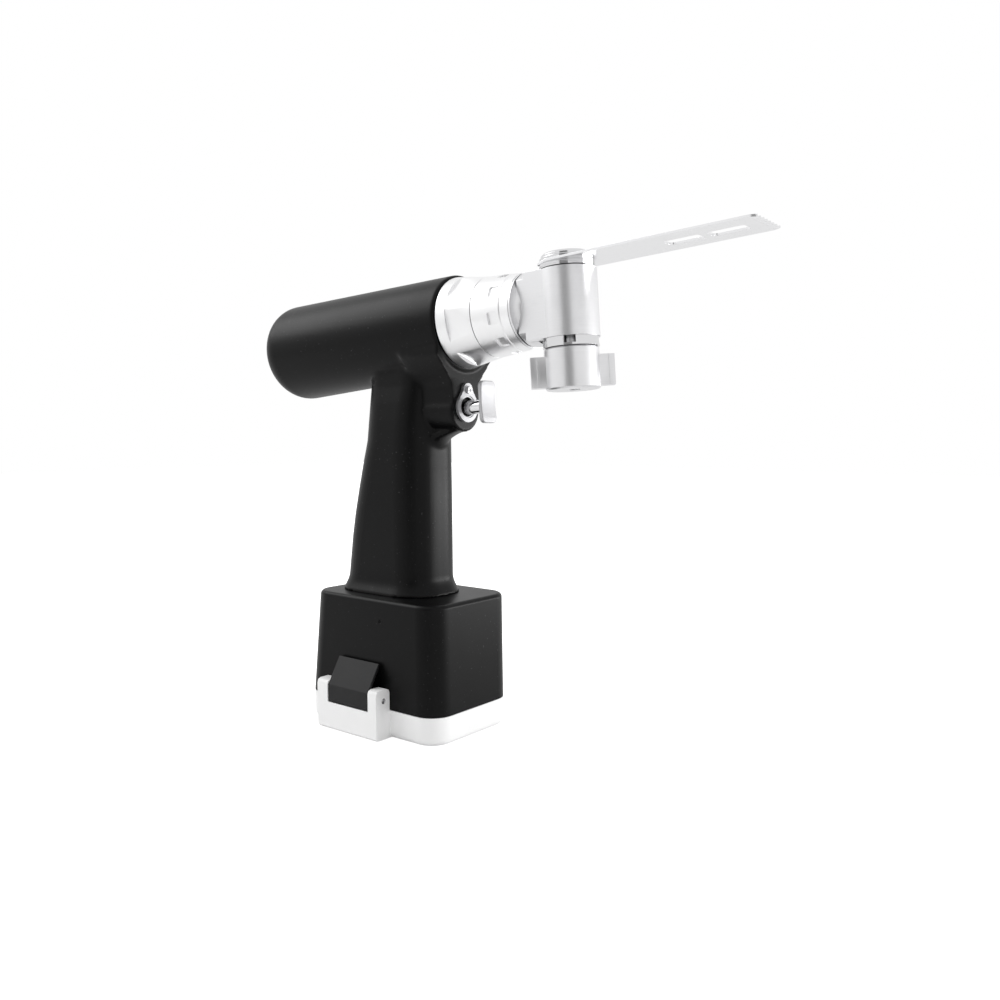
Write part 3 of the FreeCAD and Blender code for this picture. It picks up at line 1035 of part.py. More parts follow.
def make_latch():
    """The bent flap on its pin, with two hinge eyes behind it."""
    flap = new_body("flap_form")
    sketch = new_sketch(flap, "flap_outline", "YZ_Plane")
    out, bend, tip = "flap_y", "flap_bend_z", "flap_top_z"
    thick = "flap_thick"
    draw_outline(sketch, [(f"{out} + {thick}", "notch_floor + free_gap"), (out, "notch_floor + free_gap"),
                          (out, bend), ("flap_top_y", tip), ("flap_top_y + 1.1", f"{tip} - 0.9"),
                          (f"{out} + {thick}", f"{bend} - 0.45")])
    pad(flap, "flap_plate", sketch, "2 * flap_half_length", middle=True)
    eye = new_sketch(flap, "eye_outline", "YZ_Plane")
    draw_circle(eye, "latch_pin_y", "latch_pin_z", "latch_eye_r")
    pad(flap, "eye_bar", eye, "2 * flap_half_length", middle=True)
    arm = new_sketch(flap, "eye_arm_outline", "YZ_Plane")
    draw_outline(arm, [(f"{out} + 0.5", "latch_pin_z - 1"), ("latch_pin_y", "latch_pin_z - 1"),
                       ("latch_pin_y", "latch_pin_z + 2.4"), (f"{out} + 0.5", "latch_pin_z + 2.4")])
    pad(flap, "eye_arm", arm, "2 * flap_half_length", middle=True)
    hole = new_sketch(flap, "eye_hole_outline", "YZ_Plane")
    draw_circle(hole, "latch_pin_y", "latch_pin_z", "latch_pin_r + running_gap")
    pocket(flap, "eye_hole", hole, "4 * flap_half_length", middle=True)
    finish(flap, "latch_flap")
    flap.setExpression(".Placement.Base.x", bound("notch_x"))
    pin = new_body("latch_pin_form")
    rod = new_sketch(pin, "latch_rod_outline", "YZ_Plane")
    draw_circle(rod, "0", "0", "latch_pin_r")
    pad(pin, "latch_rod", rod, "2 * latch_pad_half - 1", middle=True)
    key = new_sketch(pin, "latch_key_outline", "YZ_Plane", {"z": "latch_pad_half - 1.8"})
    draw_polygon(key, "0.9", 6)
    pocket(pin, "latch_key", key, "3", reverse=True)
    finish(pin, "latch_pin", Placement(Vector(size("latch_pad_x"), size("latch_pin_y"), size("latch_pin_z")), Rotation()))


# Battery pack inside the box

def make_battery():
    length, width, wall = "battery_half_length", "battery_half_width", "battery_wall"
    top = "battery_bottom + battery_height"
    body = new_body("battery_form")
    outline = new_sketch(body, "battery_outline", "XY_Plane", {"z": "battery_bottom"})
    draw_rounded(outline, f"-{length}", length, f"-{width}", width, "3")
    pad(body, "battery_block", outline, "battery_height")
    room = new_sketch(body, "battery_room_outline", "XY_Plane", {"z": f"battery_bottom + {wall}"})
    draw_outline(room, [(f"-{length} + {wall}", f"-{width} + {wall}"), (f"{length} - {wall}", f"-{width} + {wall}"),
                        (f"{length} - {wall}", f"{width} - {wall}"), (f"-{length} + {wall}", f"{width} - {wall}")])
    pocket(body, "battery_room", room, "battery_height + 1", reverse=True)
    finish(body, "battery_case")
    lid = new_body("lid_form")
    plate = new_sketch(lid, "lid_outline", "XY_Plane", {"z": f"{top} + 0.05"})
    draw_rounded(plate, f"-{length}", length, f"-{width}", width, "3")
    pad(lid, "lid_plate", plate, "lid_thick")
    rim = new_sketch(lid, "lid_rim_outline", "XY_Plane", {"z": f"{top} + 0.1"})
    inset = f"({wall} + 0.1)"
    draw_outline(rim, [(f"-{length} + {inset}", f"-{width} + {inset}"), (f"{length} - {inset}", f"-{width} + {inset}"),
                       (f"{length} - {inset}", f"{width} - {inset}"), (f"-{length} + {inset}", f"{width} - {inset}")])
    pad(lid, "lid_rim", rim, "lid_rim", reverse=True)
    finish(lid, "battery_lid")
    cells = []
    for i, side in enumerate(("-1", "1")):
        for j, level in enumerate(("0", "1")):
            cells.append(primitive(
                "Cylinder", f"cell_{i}{j}",
                ("-cell_length / 2", f"{side} * (cell_r + 0.1)",
                 f"battery_bottom + {wall} + cell_r + {level} * (2 * cell_r + 0.2)"),
                ALONG_X, Radius="cell_r", Height="cell_length"))
    finish(fused("cell_set", cells), "battery_cells")
    pads = [block(f"contact_pad_{i}", (f"{spot} - 1.7", "-3.5", f"{top} + lid_thick + 0.1"),
                  (f"{spot} + 1.7", "3.5", "contact_pad_top")) for i, spot in enumerate(CONTACT_SPOTS)]
    finish(fused("contact_pad_set", pads), "battery_contacts")


make_handpiece()
make_motor()
make_rear_cap()
make_socket()
make_lock_ring()
make_head_sleeve()
make_head_housing()
make_drive()
make_spindle()
make_neck()
make_blade_clamp()
make_knob()
make_trigger()
make_electronics()
make_housing()
make_cover()
make_battery()

doc.recompute()
faults = [each.Label for each in doc.Objects if "Invalid" in each.State or "Error" in each.State]
if faults:
    raise RuntimeError(f"These did not build: {faults}")
os.makedirs("parts", exist_ok=True)
for piece in parts:
    if piece.Shape.isNull() or not piece.Shape.isValid():
        raise RuntimeError(f"{piece.Label} has no valid shape")
    piece.Shape.exportStep(f"parts/{piece.Label}.step")
    print(piece.Label, len(piece.Shape.Solids), round(piece.Shape.Volume))
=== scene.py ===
"""A battery bone saw that stands on its battery box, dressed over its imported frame.

The frame is in metres, +Z up, with the blade towards +X. Sizes in this file are in
millimetres, and each mesh is made in metres.
"""
import json
import logging
import math
import sys
from dataclasses import dataclass
from enum import Enum
from typing import Any, Iterable, Sequence

import bpy
from mathutils import Matrix, Vector


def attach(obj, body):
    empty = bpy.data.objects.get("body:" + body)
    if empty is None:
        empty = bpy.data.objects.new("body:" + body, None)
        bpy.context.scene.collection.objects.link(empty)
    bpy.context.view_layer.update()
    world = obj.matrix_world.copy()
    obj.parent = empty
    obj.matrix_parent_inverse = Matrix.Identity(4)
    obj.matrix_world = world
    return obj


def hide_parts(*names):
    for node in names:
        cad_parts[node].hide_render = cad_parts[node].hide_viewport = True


LOG = logging.getLogger("bone_saw")
MM = 0.001
Outline = Sequence[tuple[float, float]]
Triple = tuple[float, float, float]
Form = bpy.types.Object
Socket = bpy.types.NodeSocket

TILT = 4.14  # the barrel's rise towards the blade, in degrees
NOSE = (40.0, 0.0, 203.3)  # the centre of the barrel's front end
STEM_DROP = 41.0  # from the barrel's axis down to the trigger stem's
HEAD_REACH = 61.4  # from the barrel's front end to the head's upright axis
SWING = 2.5  # the blade's turn at rest, in degrees
DOUBLE = 1e-6  # metres within which two points of a new form are one
DOUBLE_IN_NODE = 2e-6  # the same for a frame node's mesh
FLAT = 0.6  # degrees up to which neighbouring faces of a frame node are one


class Plane(Enum):
    """The plane that an outline is drawn on, as the axes of its two values and its depth."""
    XY = (0, 1, 2)
    YZ = (1, 2, 0)
    XZ = (0, 2, 1)


def shifted(frame: Matrix, x: float, y: float, z: float) -> Matrix:
    """The frame moved along its own axes, in millimetres."""
    return frame @ Matrix.Translation(Vector((x, y, z)) * MM)


def rolled(frame: Matrix, angle: float) -> Matrix:
    """The frame turned about its own X by an angle in degrees."""
    return frame @ Matrix.Rotation(math.radians(angle), 4, "X")


def turned(frame: Matrix, angle: float) -> Matrix:
    """The frame turned about its own Z by an angle in degrees."""
    return frame @ Matrix.Rotation(math.radians(angle), 4, "Z")


WORLD = Matrix.Identity(4)
BARREL = shifted(WORLD, *NOSE) @ Matrix.Rotation(math.radians(TILT), 4, Vector((0, -1, 0)))
STEM = shifted(BARREL, 0, 0, -STEM_DROP)
HEAD = shifted(BARREL, HEAD_REACH, 0, 0)
SWUNG = turned(HEAD, SWING)


def rounded(low_x: float, high_x: float, low_y: float, high_y: float, radius: float,
            steps: int = 8) -> list[tuple[float, float]]:
    """The outline of a rectangle with round corners.

    Args:
        low_x, high_x, low_y, high_y: the rectangle's sides.
        radius: the corners' radius.
        steps: how many edges each corner has.

    Returns:
        The outline's points, anticlockwise.
    """
    corners = [(high_x - radius, high_y - radius, 0), (low_x + radius, high_y - radius, 90),
               (low_x + radius, low_y + radius, 180), (high_x - radius, low_y + radius, 270)]
    points = []
    for x, y, start in corners:
        for i in range(steps + 1):
            angle = math.radians(start + 90 * i / steps)
            points.append((x + radius * math.cos(angle), y + radius * math.sin(angle)))
    return points


class Bench:
    """The modelling bench. Each tool leaves its object selected alone, in object mode."""

    @staticmethod
    def clear() -> None:
        """Leaves edit mode and deselects everything."""
        active = bpy.context.view_layer.objects.active
        if active is not None and active.mode != "OBJECT":
            bpy.ops.object.mode_set(mode="OBJECT")
        bpy.ops.object.select_all(action="DESELECT")

    @staticmethod
    def hold(obj: Form) -> Form:
        """Selects one object alone and makes it active."""
        Bench.clear()
        obj.select_set(True)
        bpy.context.view_layer.objects.active = obj
        return obj

    @staticmethod
    def edit(obj: Form) -> None:
        """Opens an object in edit mode with all of it selected."""
        Bench.hold(obj)
        bpy.ops.object.mode_set(mode="EDIT")
        bpy.ops.mesh.select_all(action="SELECT")

    @staticmethod
    def close(obj: Form) -> Form:
        """Merges doubles, turns all faces outwards and leaves edit mode."""
        bpy.ops.mesh.select_all(action="SELECT")
        bpy.ops.mesh.remove_doubles(threshold=DOUBLE)
        bpy.ops.mesh.normals_make_consistent(inside=False)
        bpy.ops.object.mode_set(mode="OBJECT")
        return obj

    @staticmethod
    def place(obj: Form, frame: Matrix) -> Form:
        """Sets an object in a frame and applies that place to its mesh."""
        Bench.hold(obj)
        obj.matrix_world = frame @ obj.matrix_world
        bpy.ops.object.transform_apply(location=True, rotation=True, scale=True)
        return obj

    @staticmethod
    def add(name: str, data: bpy.types.ID) -> Form:
        """A new object in the scene that holds a mesh, a light or a camera."""
        obj = bpy.data.objects.new(name, data)
        bpy.context.scene.collection.objects.link(obj)
        return obj

    @staticmethod
    def sheet(name: str, size: float) -> Form:
        """A level square at the origin. Its side is in metres."""
        Bench.clear()
        bpy.ops.mesh.primitive_plane_add(size=size, location=(0, 0, 0))
        obj = bpy.context.view_layer.objects.active
        obj.name = name
        return obj

    @staticmethod
    def chain(name: str, points: Sequence[Vector]) -> Form:
        """One vertex extruded from point to point. The object is left in edit mode.

        Args:
            name: the new object's name.
            points: the places in metres.

        Returns:
            The object, with its wire selected.
        """
        obj = Bench.sheet(name, 0.01)
        bpy.ops.object.mode_set(mode="EDIT")
        bpy.ops.mesh.select_all(action="SELECT")
        bpy.ops.mesh.merge(type="CENTER")
        bpy.ops.transform.translate(value=points[0])
        for start, end in zip(points, points[1:]):
            bpy.ops.mesh.extrude_vertices_move(TRANSFORM_OT_translate={"value": end - start})
        bpy.ops.mesh.select_all(action="SELECT")
        return obj

    @staticmethod
    def lathe(name: str, profile: Outline, frame: Matrix = WORLD, upright: bool = False,
              steps: int = 96) -> Form:
        """A form turned about an axis.

        Args:
            name: the new object's name.
            profile: places along the axis with their radii, in millimetres. A ring's
                profile ends where it starts.
            frame: the frame whose X is the axis, or whose Z is for an upright one.
            upright: turn about Z.
            steps: edges round the axis.

        Returns:
            The closed form.
        """
        if upright:
            points = [Vector((radius, 0, along)) * MM for along, radius in profile]
        else:
            points = [Vector((along, 0, radius)) * MM for along, radius in profile]
        obj = Bench.chain(name, points)
        axis = (0, 0, 1) if upright else (1, 0, 0)
        bpy.ops.mesh.spin(steps=steps, angle=math.tau, center=(0, 0, 0), axis=axis)
        Bench.close(obj)
        return Bench.place(obj, frame)

    @staticmethod
    def rod(name: str, radius: float, low: float, high: float, frame: Matrix = WORLD,
            upright: bool = False, steps: int = 96) -> Form:
        """A round bar along the frame's X, or its Z if upright. Lengths are in millimetres."""
        profile = [(low, 0.0), (low, radius), (high, radius), (high, 0.0)]
        return Bench.lathe(name, profile, frame, upright, steps)

    @staticmethod
    def slab(name: str, outline: Outline, low: float, high: float, plane: Plane,
             frame: Matrix = WORLD) -> Form:
        """An outline extruded from one depth to another.

        Args:
            name: the new object's name.
            outline: the outline's corners in millimetres.
            low, high: the depths.
            plane: the plane of the outline.
            frame: the frame that it is drawn in.

        Returns:
            The closed slab.
        """
        first, second, depth = plane.value
        points = []
        for u, v in outline:
            spot = Vector((0, 0, 0))
            spot[first], spot[second], spot[depth] = u * MM, v * MM, low * MM
            points.append(spot)
        lift = Vector((0, 0, 0))
        lift[depth] = (high - low) * MM
        obj = Bench.chain(name, points)
        bpy.ops.mesh.edge_face_add()
        bpy.ops.mesh.extrude_region_move(TRANSFORM_OT_translate={"value": lift})
        Bench.close(obj)
        return Bench.place(obj, frame)

    @staticmethod
    def loft(name: str, rings: Sequence[tuple[float, Outline]]) -> Form:
        """A closed form through level rings, each with as many points as the next.

        Args:
            name: the new object's name.
            rings: heights with their outlines, from the lowest up.

        Returns:
            The closed form.
        """
        drawn = []
        for i, (height, outline) in enumerate(rings):
            points = [Vector((x, y, height)) * MM for x, y in outline]
            ring = Bench.chain(f"{name}_{i}", points + points[:1])
            drawn.append(Bench.close(ring))
        Bench.clear()
        for ring in drawn:
            ring.select_set(True)
        bpy.context.view_layer.objects.active = drawn[0]
        bpy.ops.object.join()
        obj = bpy.context.view_layer.objects.active
        obj.name = name
        Bench.edit(obj)
        bpy.ops.mesh.bridge_edge_loops()
        bpy.ops.mesh.select_all(action="SELECT")
        bpy.ops.mesh.fill_holes(sides=0)
        return Bench.close(obj)

    @staticmethod
    def modify(obj: Form, kind: str, **settings: Any) -> Form:
        """Adds a modifier with its settings and applies it."""
        Bench.hold(obj)
        modifier = obj.modifiers.new(kind.lower(), kind)
        for key, value in settings.items():
            setattr(modifier, key, value)
        bpy.ops.object.modifier_apply(modifier=modifier.name)
        return obj

    @staticmethod
    def combine(obj: Form, tools: Iterable[Form], operation: str = "DIFFERENCE") -> Form:
        """Cuts the tools from an object, or joins them to it, and removes them.

        Args:
            obj: the object that stays.
            tools: closed forms.
            operation: DIFFERENCE, UNION or INTERSECT.

        Returns:
            The changed object.
        """
        for tool in tools:
            Bench.modify(obj, "BOOLEAN", object=tool, operation=operation, solver="EXACT")
            bpy.data.objects.remove(tool)
        return obj

    @staticmethod
    def around(obj: Form, count: int, frame: Matrix, axis: str) -> list[Form]:
        """Copies of an object at equal turns about an axis of a frame, the first one included."""
        copies = [obj]
        for i in range(1, count):
            copy = obj.copy()
            copy.data = obj.data.copy()
            bpy.context.scene.collection.objects.link(copy)
            turn = Matrix.Rotation(math.tau * i / count, 4, axis)
            copy.data.transform(frame @ turn @ frame.inverted())
            copies.append(copy)
        return copies

    @staticmethod
    def soften(obj: Form, width: float, segments: int = 3, sharp: float = 34.0,
               weigh: bool = True) -> Form:
        """Rounds the sharp edges and shades the rest smooth.

        Args:
            obj: the object.
            width: the bevel's width in millimetres, or 0 for none.
            segments: faces across each bevel.
            sharp: the angle in degrees from which an edge counts as sharp.
            weigh: let large faces set the shading of their edges.

        Returns:
            The same object.
        """
        if width:
            Bench.modify(obj, "BEVEL", width=width * MM, segments=segments,
                         limit_method="ANGLE", angle_limit=math.radians(sharp),
                         use_clamp_overlap=True, miter_outer="MITER_ARC")
        Bench.hold(obj)
        bpy.ops.object.shade_smooth_by_angle(angle=math.radians(sharp))
        if weigh:
            Bench.modify(obj, "WEIGHTED_NORMAL", keep_sharp=True, weight=90)
        return obj

    @staticmethod
    def recast(node: str, name: str, width: float, sharp: float = 34.0) -> Form:
        """A clean copy of a frame node with its edges rounded, which stands for it.

        Args:
            node: the frame node.
            name: the new piece's name.
            width: the bevel's width in millimetres.
            sharp: the angle in degrees from which an edge is rounded.

        Returns:
            The new piece.
        """
        source = FRAME["nodes"][node]
        mesh = source.data.copy()
        mesh.materials.clear()
        obj = Bench.add(name, mesh)
        Bench.edit(obj)
        bpy.ops.mesh.customdata_custom_splitnormals_clear()
        bpy.ops.mesh.remove_doubles(threshold=DOUBLE_IN_NODE)
        bpy.ops.mesh.dissolve_limited(angle_limit=math.radians(FLAT))
        bpy.ops.object.mode_set(mode="OBJECT")
        Bench.soften(obj, width, sharp=sharp)
        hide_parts(node)
        return obj


class Signal:
    """A number that varies over a surface. Arithmetic on it adds Math nodes."""

    def __init__(self, recipe: "Recipe", socket: Socket) -> None:
        """Wraps one output socket of a recipe."""
        self.recipe = recipe
        self.socket = socket

    def __add__(self, other: Any) -> "Signal":
        """The sum."""
        return self.recipe.math("ADD", self, other)

    __radd__ = __add__

    def __sub__(self, other: Any) -> "Signal":
        """The difference."""
        return self.recipe.math("SUBTRACT", self, other)

    def __mul__(self, other: Any) -> "Signal":
        """The product."""
        return self.recipe.math("MULTIPLY", self, other)

    def between(self, low: float, high: float) -> "Signal":
        """This signal spread from 0 at low to 1 at high, and held there."""
        node = self.recipe.node("ShaderNodeMapRange", {"clamp": True},
                                {"Value": self, "From Min": low, "From Max": high})
        return Signal(self.recipe, node.outputs["Result"])


class Recipe:
    """The node tree of one finish."""

    def __init__(self, name: str) -> None:
        """Starts a material with a Principled shader and Object coordinates."""
        self.material = bpy.data.materials.new(name)
        self.material.use_nodes = True
        self.nodes = self.material.node_tree.nodes
        self.links = self.material.node_tree.links
        self.nodes.clear()
        self.shader = self.nodes.new("ShaderNodeBsdfPrincipled")
        output = self.nodes.new("ShaderNodeOutputMaterial")
        self.links.new(self.shader.outputs[0], output.inputs["Surface"])
        self.place = self.node("ShaderNodeTexCoord", {}, {}).outputs["Object"]

    def node(self, kind: str, settings: dict[str, Any], values: dict[Any, Any]) -> bpy.types.Node:
        """Adds a node.

        Args:
            kind: the node's type.
            settings: its properties, set first.
            values: its sockets' values or links, by name or place.

        Returns:
            The node.
        """
        made = self.nodes.new(kind)
        for key, value in settings.items():
            setattr(made, key, value)
        for key, value in values.items():
            self.feed(made.inputs[key], value)
        return made

    def feed(self, socket: Socket, value: Any) -> None:
        """Links a socket to a signal or another socket, or sets its value."""
        if isinstance(value, Signal):
            self.links.new(value.socket, socket)
        elif isinstance(value, Socket):
            self.links.new(value, socket)
        else:
            socket.default_value = value

    def math(self, operation: str, *values: Any) -> Signal:
        """A Math node over signals and numbers."""
        made = self.node("ShaderNodeMath", {"operation": operation}, dict(enumerate(values)))
        return Signal(self, made.outputs[0])

    def stretched(self, stretch: Triple, turn: Triple = (0, 0, 0),
                  centre: Triple = (0, 0, 0)) -> Socket:
        """Object coordinates moved to a centre, turned, and scaled along each axis.

        Args:
            stretch: the scale along each axis.
            turn: the turn in degrees.
            centre: the point in metres that becomes the origin.

        Returns:
            The coordinates' socket.
        """
        moved = self.node("ShaderNodeVectorMath", {"operation": "SUBTRACT"},
                          {0: self.place, 1: centre})
        mapped = self.node("ShaderNodeMapping", {"vector_type": "POINT"},
                           {"Vector": moved.outputs[0], "Rotation": tuple(map(math.radians, turn))})
        scaled = self.node("ShaderNodeVectorMath", {"operation": "MULTIPLY"},
                           {0: mapped.outputs[0], 1: stretch})
        return scaled.outputs[0]

    def noise(self, scale: float, detail: float = 2.0, roughness: float = 0.5,
              at: Socket | None = None) -> Signal:
        """Noise of so many features to the metre, around 0.5."""
        made = self.node("ShaderNodeTexNoise", {}, {"Vector": at or self.place, "Scale": scale,
                                                    "Detail": detail, "Roughness": roughness})
        return Signal(self, made.outputs["Fac"])

    def blend(self, low: Sequence[float], high: Sequence[float], share: Any) -> Socket:
        """A colour between two colours."""
        made = self.node("ShaderNodeMix", {"data_type": "RGBA"},
                         {0: share, 6: (*low, 1.0), 7: (*high, 1.0)})
        return made.outputs[2]

    def emboss(self, height: Signal, depth: float) -> None:
        """Feeds a height to the shader's normal.

        Args:
            height: the height, from 0 to 1.
            depth: the height of 1 in millimetres.
        """
        bump = self.node("ShaderNodeBump", {},
                         {"Strength": 1.0, "Distance": depth * MM, "Height": height})
        self.links.new(bump.outputs[0], self.shader.inputs["Normal"])

    def set(self, **values: Any) -> None:
        """Sets or links sockets of the shader, written in lower case with underscores."""
        for key, value in values.items():
            socket = key.replace("_", " ").title().replace("Ior", "IOR")
            self.feed(self.shader.inputs[socket], value)


@dataclass(frozen=True)
class MouldedShell:
    """Fine-grained matt polymer with sparse pale flecks and faint handling marks."""
    name: str = "moulded_black"
    colour: Triple = (0.0018, 0.0018, 0.0019)
    pale: Triple = (0.055, 0.055, 0.058)
    gloss: float = 0.28
    flecks: float = 0.45
    sheen: float = 0.135

    def material(self) -> bpy.types.Material:
        """The finish as a material."""
        recipe = Recipe(self.name)
        grain = recipe.noise(1500, 3, 0.6)
        cloud = recipe.noise(26, 3, 0.55)
        fleck = recipe.noise(1100, 0, 0.5).between(0.80, 0.83)
        along = recipe.stretched((1, 0.2, 0.35), (0, 30, 20))
        scuff = recipe.noise(160, 4, 0.7, along).between(0.62, 0.78)
        tone = fleck * self.flecks + cloud * 0.015 + scuff * 0.04
        recipe.set(base_color=recipe.blend(self.colour, self.pale, tone),
                   roughness=self.gloss + cloud * 0.10 + grain * 0.06 - scuff * 0.08,
                   specular_ior_level=self.sheen)
        recipe.emboss(grain * 0.8 + fleck * 0.5, 0.02)
        return recipe.material


@dataclass(frozen=True)
class CoverPolymer:
    """Smooth white polymer with a very faint orange peel."""
    name: str = "cover_white"
    colour: Triple = (0.94, 0.94, 0.94)
    shade: Triple = (0.86, 0.86, 0.855)

    def material(self) -> bpy.types.Material:
        """The finish as a material."""
        recipe = Recipe(self.name)
        peel = recipe.noise(420, 2, 0.5)
        cloud = recipe.noise(18, 3, 0.6)
        grime = recipe.noise(60, 5, 0.7).between(0.58, 0.85)
        recipe.set(base_color=recipe.blend(self.colour, self.shade, grime * 0.35 + cloud * 0.1),
                   roughness=0.30 + cloud * 0.10 + grime * 0.1, ior=1.48)
        recipe.emboss(peel, 0.02)
        return recipe.material


@dataclass(frozen=True)
class BlastedSteel:
    """Satin stainless steel with an even blasted grain."""
    name: str = "satin_steel"
    colour: Triple = (0.50, 0.50, 0.51)
    dull: Triple = (0.42, 0.42, 0.43)
    gloss: float = 0.52

    def material(self) -> bpy.types.Material:
        """The finish as a material."""
        recipe = Recipe(self.name)
        grain = recipe.noise(2600, 2, 0.6)
        cloud = recipe.noise(70, 4, 0.6)
        recipe.set(base_color=recipe.blend(self.colour, self.dull, cloud.between(0.35, 0.8) * 0.5),
                   metallic=1.0, roughness=self.gloss + cloud * 0.12 - grain * 0.04)
        recipe.emboss(grain, 0.003)
        return recipe.material


@dataclass(frozen=True)
class TurnedSteel:
    """Steel with fine lines round an axis, as a lathe or a brush leaves them."""
    name: str
    turn: Triple = (0.0, TILT, 0.0)
    lines: Triple = (1.0, 1.0, 60.0)
    colour: Triple = (0.84, 0.84, 0.85)
    dull: Triple = (0.66, 0.66, 0.67)
    gloss: float = 0.24
    depth: float = 0.002

    def material(self) -> bpy.types.Material:
        """The finish as a material."""
        recipe = Recipe(self.name)
        along = recipe.stretched(self.lines, self.turn, (0.0, 0.0, 0.2))
        line = recipe.noise(90, 4, 0.7, along)
        coarse = recipe.noise(30, 3, 0.6, along)
        cloud = recipe.noise(80, 4, 0.6)
        tone = line * 0.5 + cloud.between(0.5, 0.9) * 0.4
        recipe.set(base_color=recipe.blend(self.colour, self.dull, tone),
                   metallic=1.0, roughness=self.gloss + line * 0.10 + cloud * 0.08)
        recipe.emboss(line + coarse * 0.4, self.depth)
        return recipe.material


@dataclass(frozen=True)
class PolishedSteel:
    """Bright steel with hairline scratches."""
    name: str = "polished_steel"
    colour: Triple = (0.78, 0.78, 0.79)
    dull: Triple = (0.55, 0.55, 0.56)

    def material(self) -> bpy.types.Material:
        """The finish as a material."""
        recipe = Recipe(self.name)
        along = recipe.stretched((1, 9, 1), (0, 0, 25))
        scratch = recipe.noise(220, 5, 0.75, along).between(0.60, 0.80)
        cloud = recipe.noise(90, 3, 0.6)
        recipe.set(base_color=recipe.blend(self.colour, self.dull, scratch * 0.4 + cloud * 0.1),
                   metallic=1.0, roughness=0.10 + scratch * 0.14 + cloud * 0.06)
        recipe.emboss(scratch, 0.001)
        return recipe.material


@dataclass(frozen=True)
class GroundBlade:
    """Pale blade steel, ground along its length, with a few duller patches."""
    name: str = "ground_blade"
    colour: Triple = (0.93, 0.93, 0.94)
    dull: Triple = (0.80, 0.80, 0.81)

    def material(self) -> bpy.types.Material:
        """The finish as a material."""
        recipe = Recipe(self.name)
        along = recipe.stretched((1, 30, 8), (0, TILT, 0), (0, 0, 0.22))
        line = recipe.noise(60, 5, 0.7, along)
        stain = recipe.noise(45, 4, 0.6).between(0.55, 0.9)
        recipe.set(base_color=recipe.blend(self.colour, self.dull, line * 0.45 + stain * 0.4),
                   metallic=1.0, roughness=0.19 + line * 0.08 + stain * 0.08)
        recipe.emboss(line, 0.0015)
        return recipe.material


@dataclass(frozen=True)
class PlainStuff:
    """A finish for the parts inside: one colour with its grain, either metal or not."""
    name: str
    colour: Triple
    metal: float = 0.0
    gloss: float = 0.5
    grain: float = 900.0
    depth: float = 0.03
    sheen: float = 0.5

    def material(self) -> bpy.types.Material:
        """The finish as a material."""
        recipe = Recipe(self.name)
        grain = recipe.noise(self.grain, 3, 0.6)
        cloud = recipe.noise(40, 3, 0.6)
        dull = tuple(0.72 * part for part in self.colour)
        recipe.set(base_color=recipe.blend(self.colour, dull, grain * 0.4 + cloud * 0.4),
                   metallic=self.metal, roughness=self.gloss + cloud * 0.1 + grain * 0.06,
                   specular_ior_level=self.sheen)
        recipe.emboss(grain, self.depth)
        return recipe.material


class Slot(Enum):
    """The frame's material slots with the finish of each."""
    black_shell = MouldedShell()
    white_cover = CoverPolymer()
    # satin_steel and pale_steel are one blasted steel at two brightnesses, which is painted light:
    # satin_steel is written darker to hold back the key lamp's glare on the pad, and pale_steel is made
    # paler so the rings look brightly lit.
    satin_steel = BlastedSteel()
    pale_steel = BlastedSteel("pale_steel", (0.97, 0.97, 0.975), (0.91, 0.91, 0.915), 0.30)
    turned_steel = TurnedSteel("turned_steel")
    polished_steel = PolishedSteel()
    blade_steel = GroundBlade()
    dark_polymer = PlainStuff("dark_polymer", (0.008, 0.008, 0.0085), 0.0, 0.45, sheen=0.32)
    seal_rubber = PlainStuff("seal_rubber", (0.02, 0.02, 0.02), 0.0, 0.7)
    winding = PlainStuff("copper_winding", (0.55, 0.24, 0.10), 1.0, 0.35, 1800)
    magnet_steel = PlainStuff("magnet_steel", (0.22, 0.22, 0.23), 1.0, 0.5)
    board_green = PlainStuff("board_green", (0.02, 0.13, 0.05), 0.0, 0.3)
    contact_gold = PlainStuff("contact_gold", (0.85, 0.62, 0.22), 1.0, 0.25, 1500, 0.01)
    cell_wrap = PlainStuff("cell_wrap", (0.06, 0.17, 0.33), 0.0, 0.3, 300, 0.01)


class Dresser:
    """Makes each finish once and lays it on pieces and frame nodes."""

    def __init__(self) -> None:
        """Starts with no finish made."""
        self.made: dict[Slot, bpy.types.Material] = {}

    def finish(self, slot: Slot) -> bpy.types.Material:
        """The slot's material, made at its first use."""
        if slot not in self.made:
            self.made[slot] = slot.value.material()
        return self.made[slot]

    def dress(self, obj: Form, slot: Slot) -> None:
        """Lays a finish on all of an object's faces."""
        if not obj.material_slots:
            obj.data.materials.append(self.finish(slot))
        for held in obj.material_slots:
            held.material = self.finish(slot)

    def dress_nodes(self) -> None:
        """Lays each frame node's own finish on it, as the record names it."""
        for row in FRAME["record"]["subparts"]:
            self.dress(FRAME["nodes"][row["node"]], Slot[row["material_slot"]])


@dataclass
class SubAssembly:
    """What every group of pieces shares: its finishes and how a piece is handed over."""
    dresser: Dresser

    def hand_over(self, obj: Form, body: str, slot: Slot, *nodes: str) -> Form:
        """Rides, dresses and reports a finished piece.

        Args:
            obj: the piece.
            body: the frame body it moves with.
            slot: its finish.
            nodes: the frame nodes that it stands for.

        Returns:
            The piece.
        """
        if nodes:
            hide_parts(*nodes)
        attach(obj, body)
        self.dresser.dress(obj, slot)
        LOG.info("%s: %d faces on %s", obj.name, len(obj.data.polygons), body)
        return obj


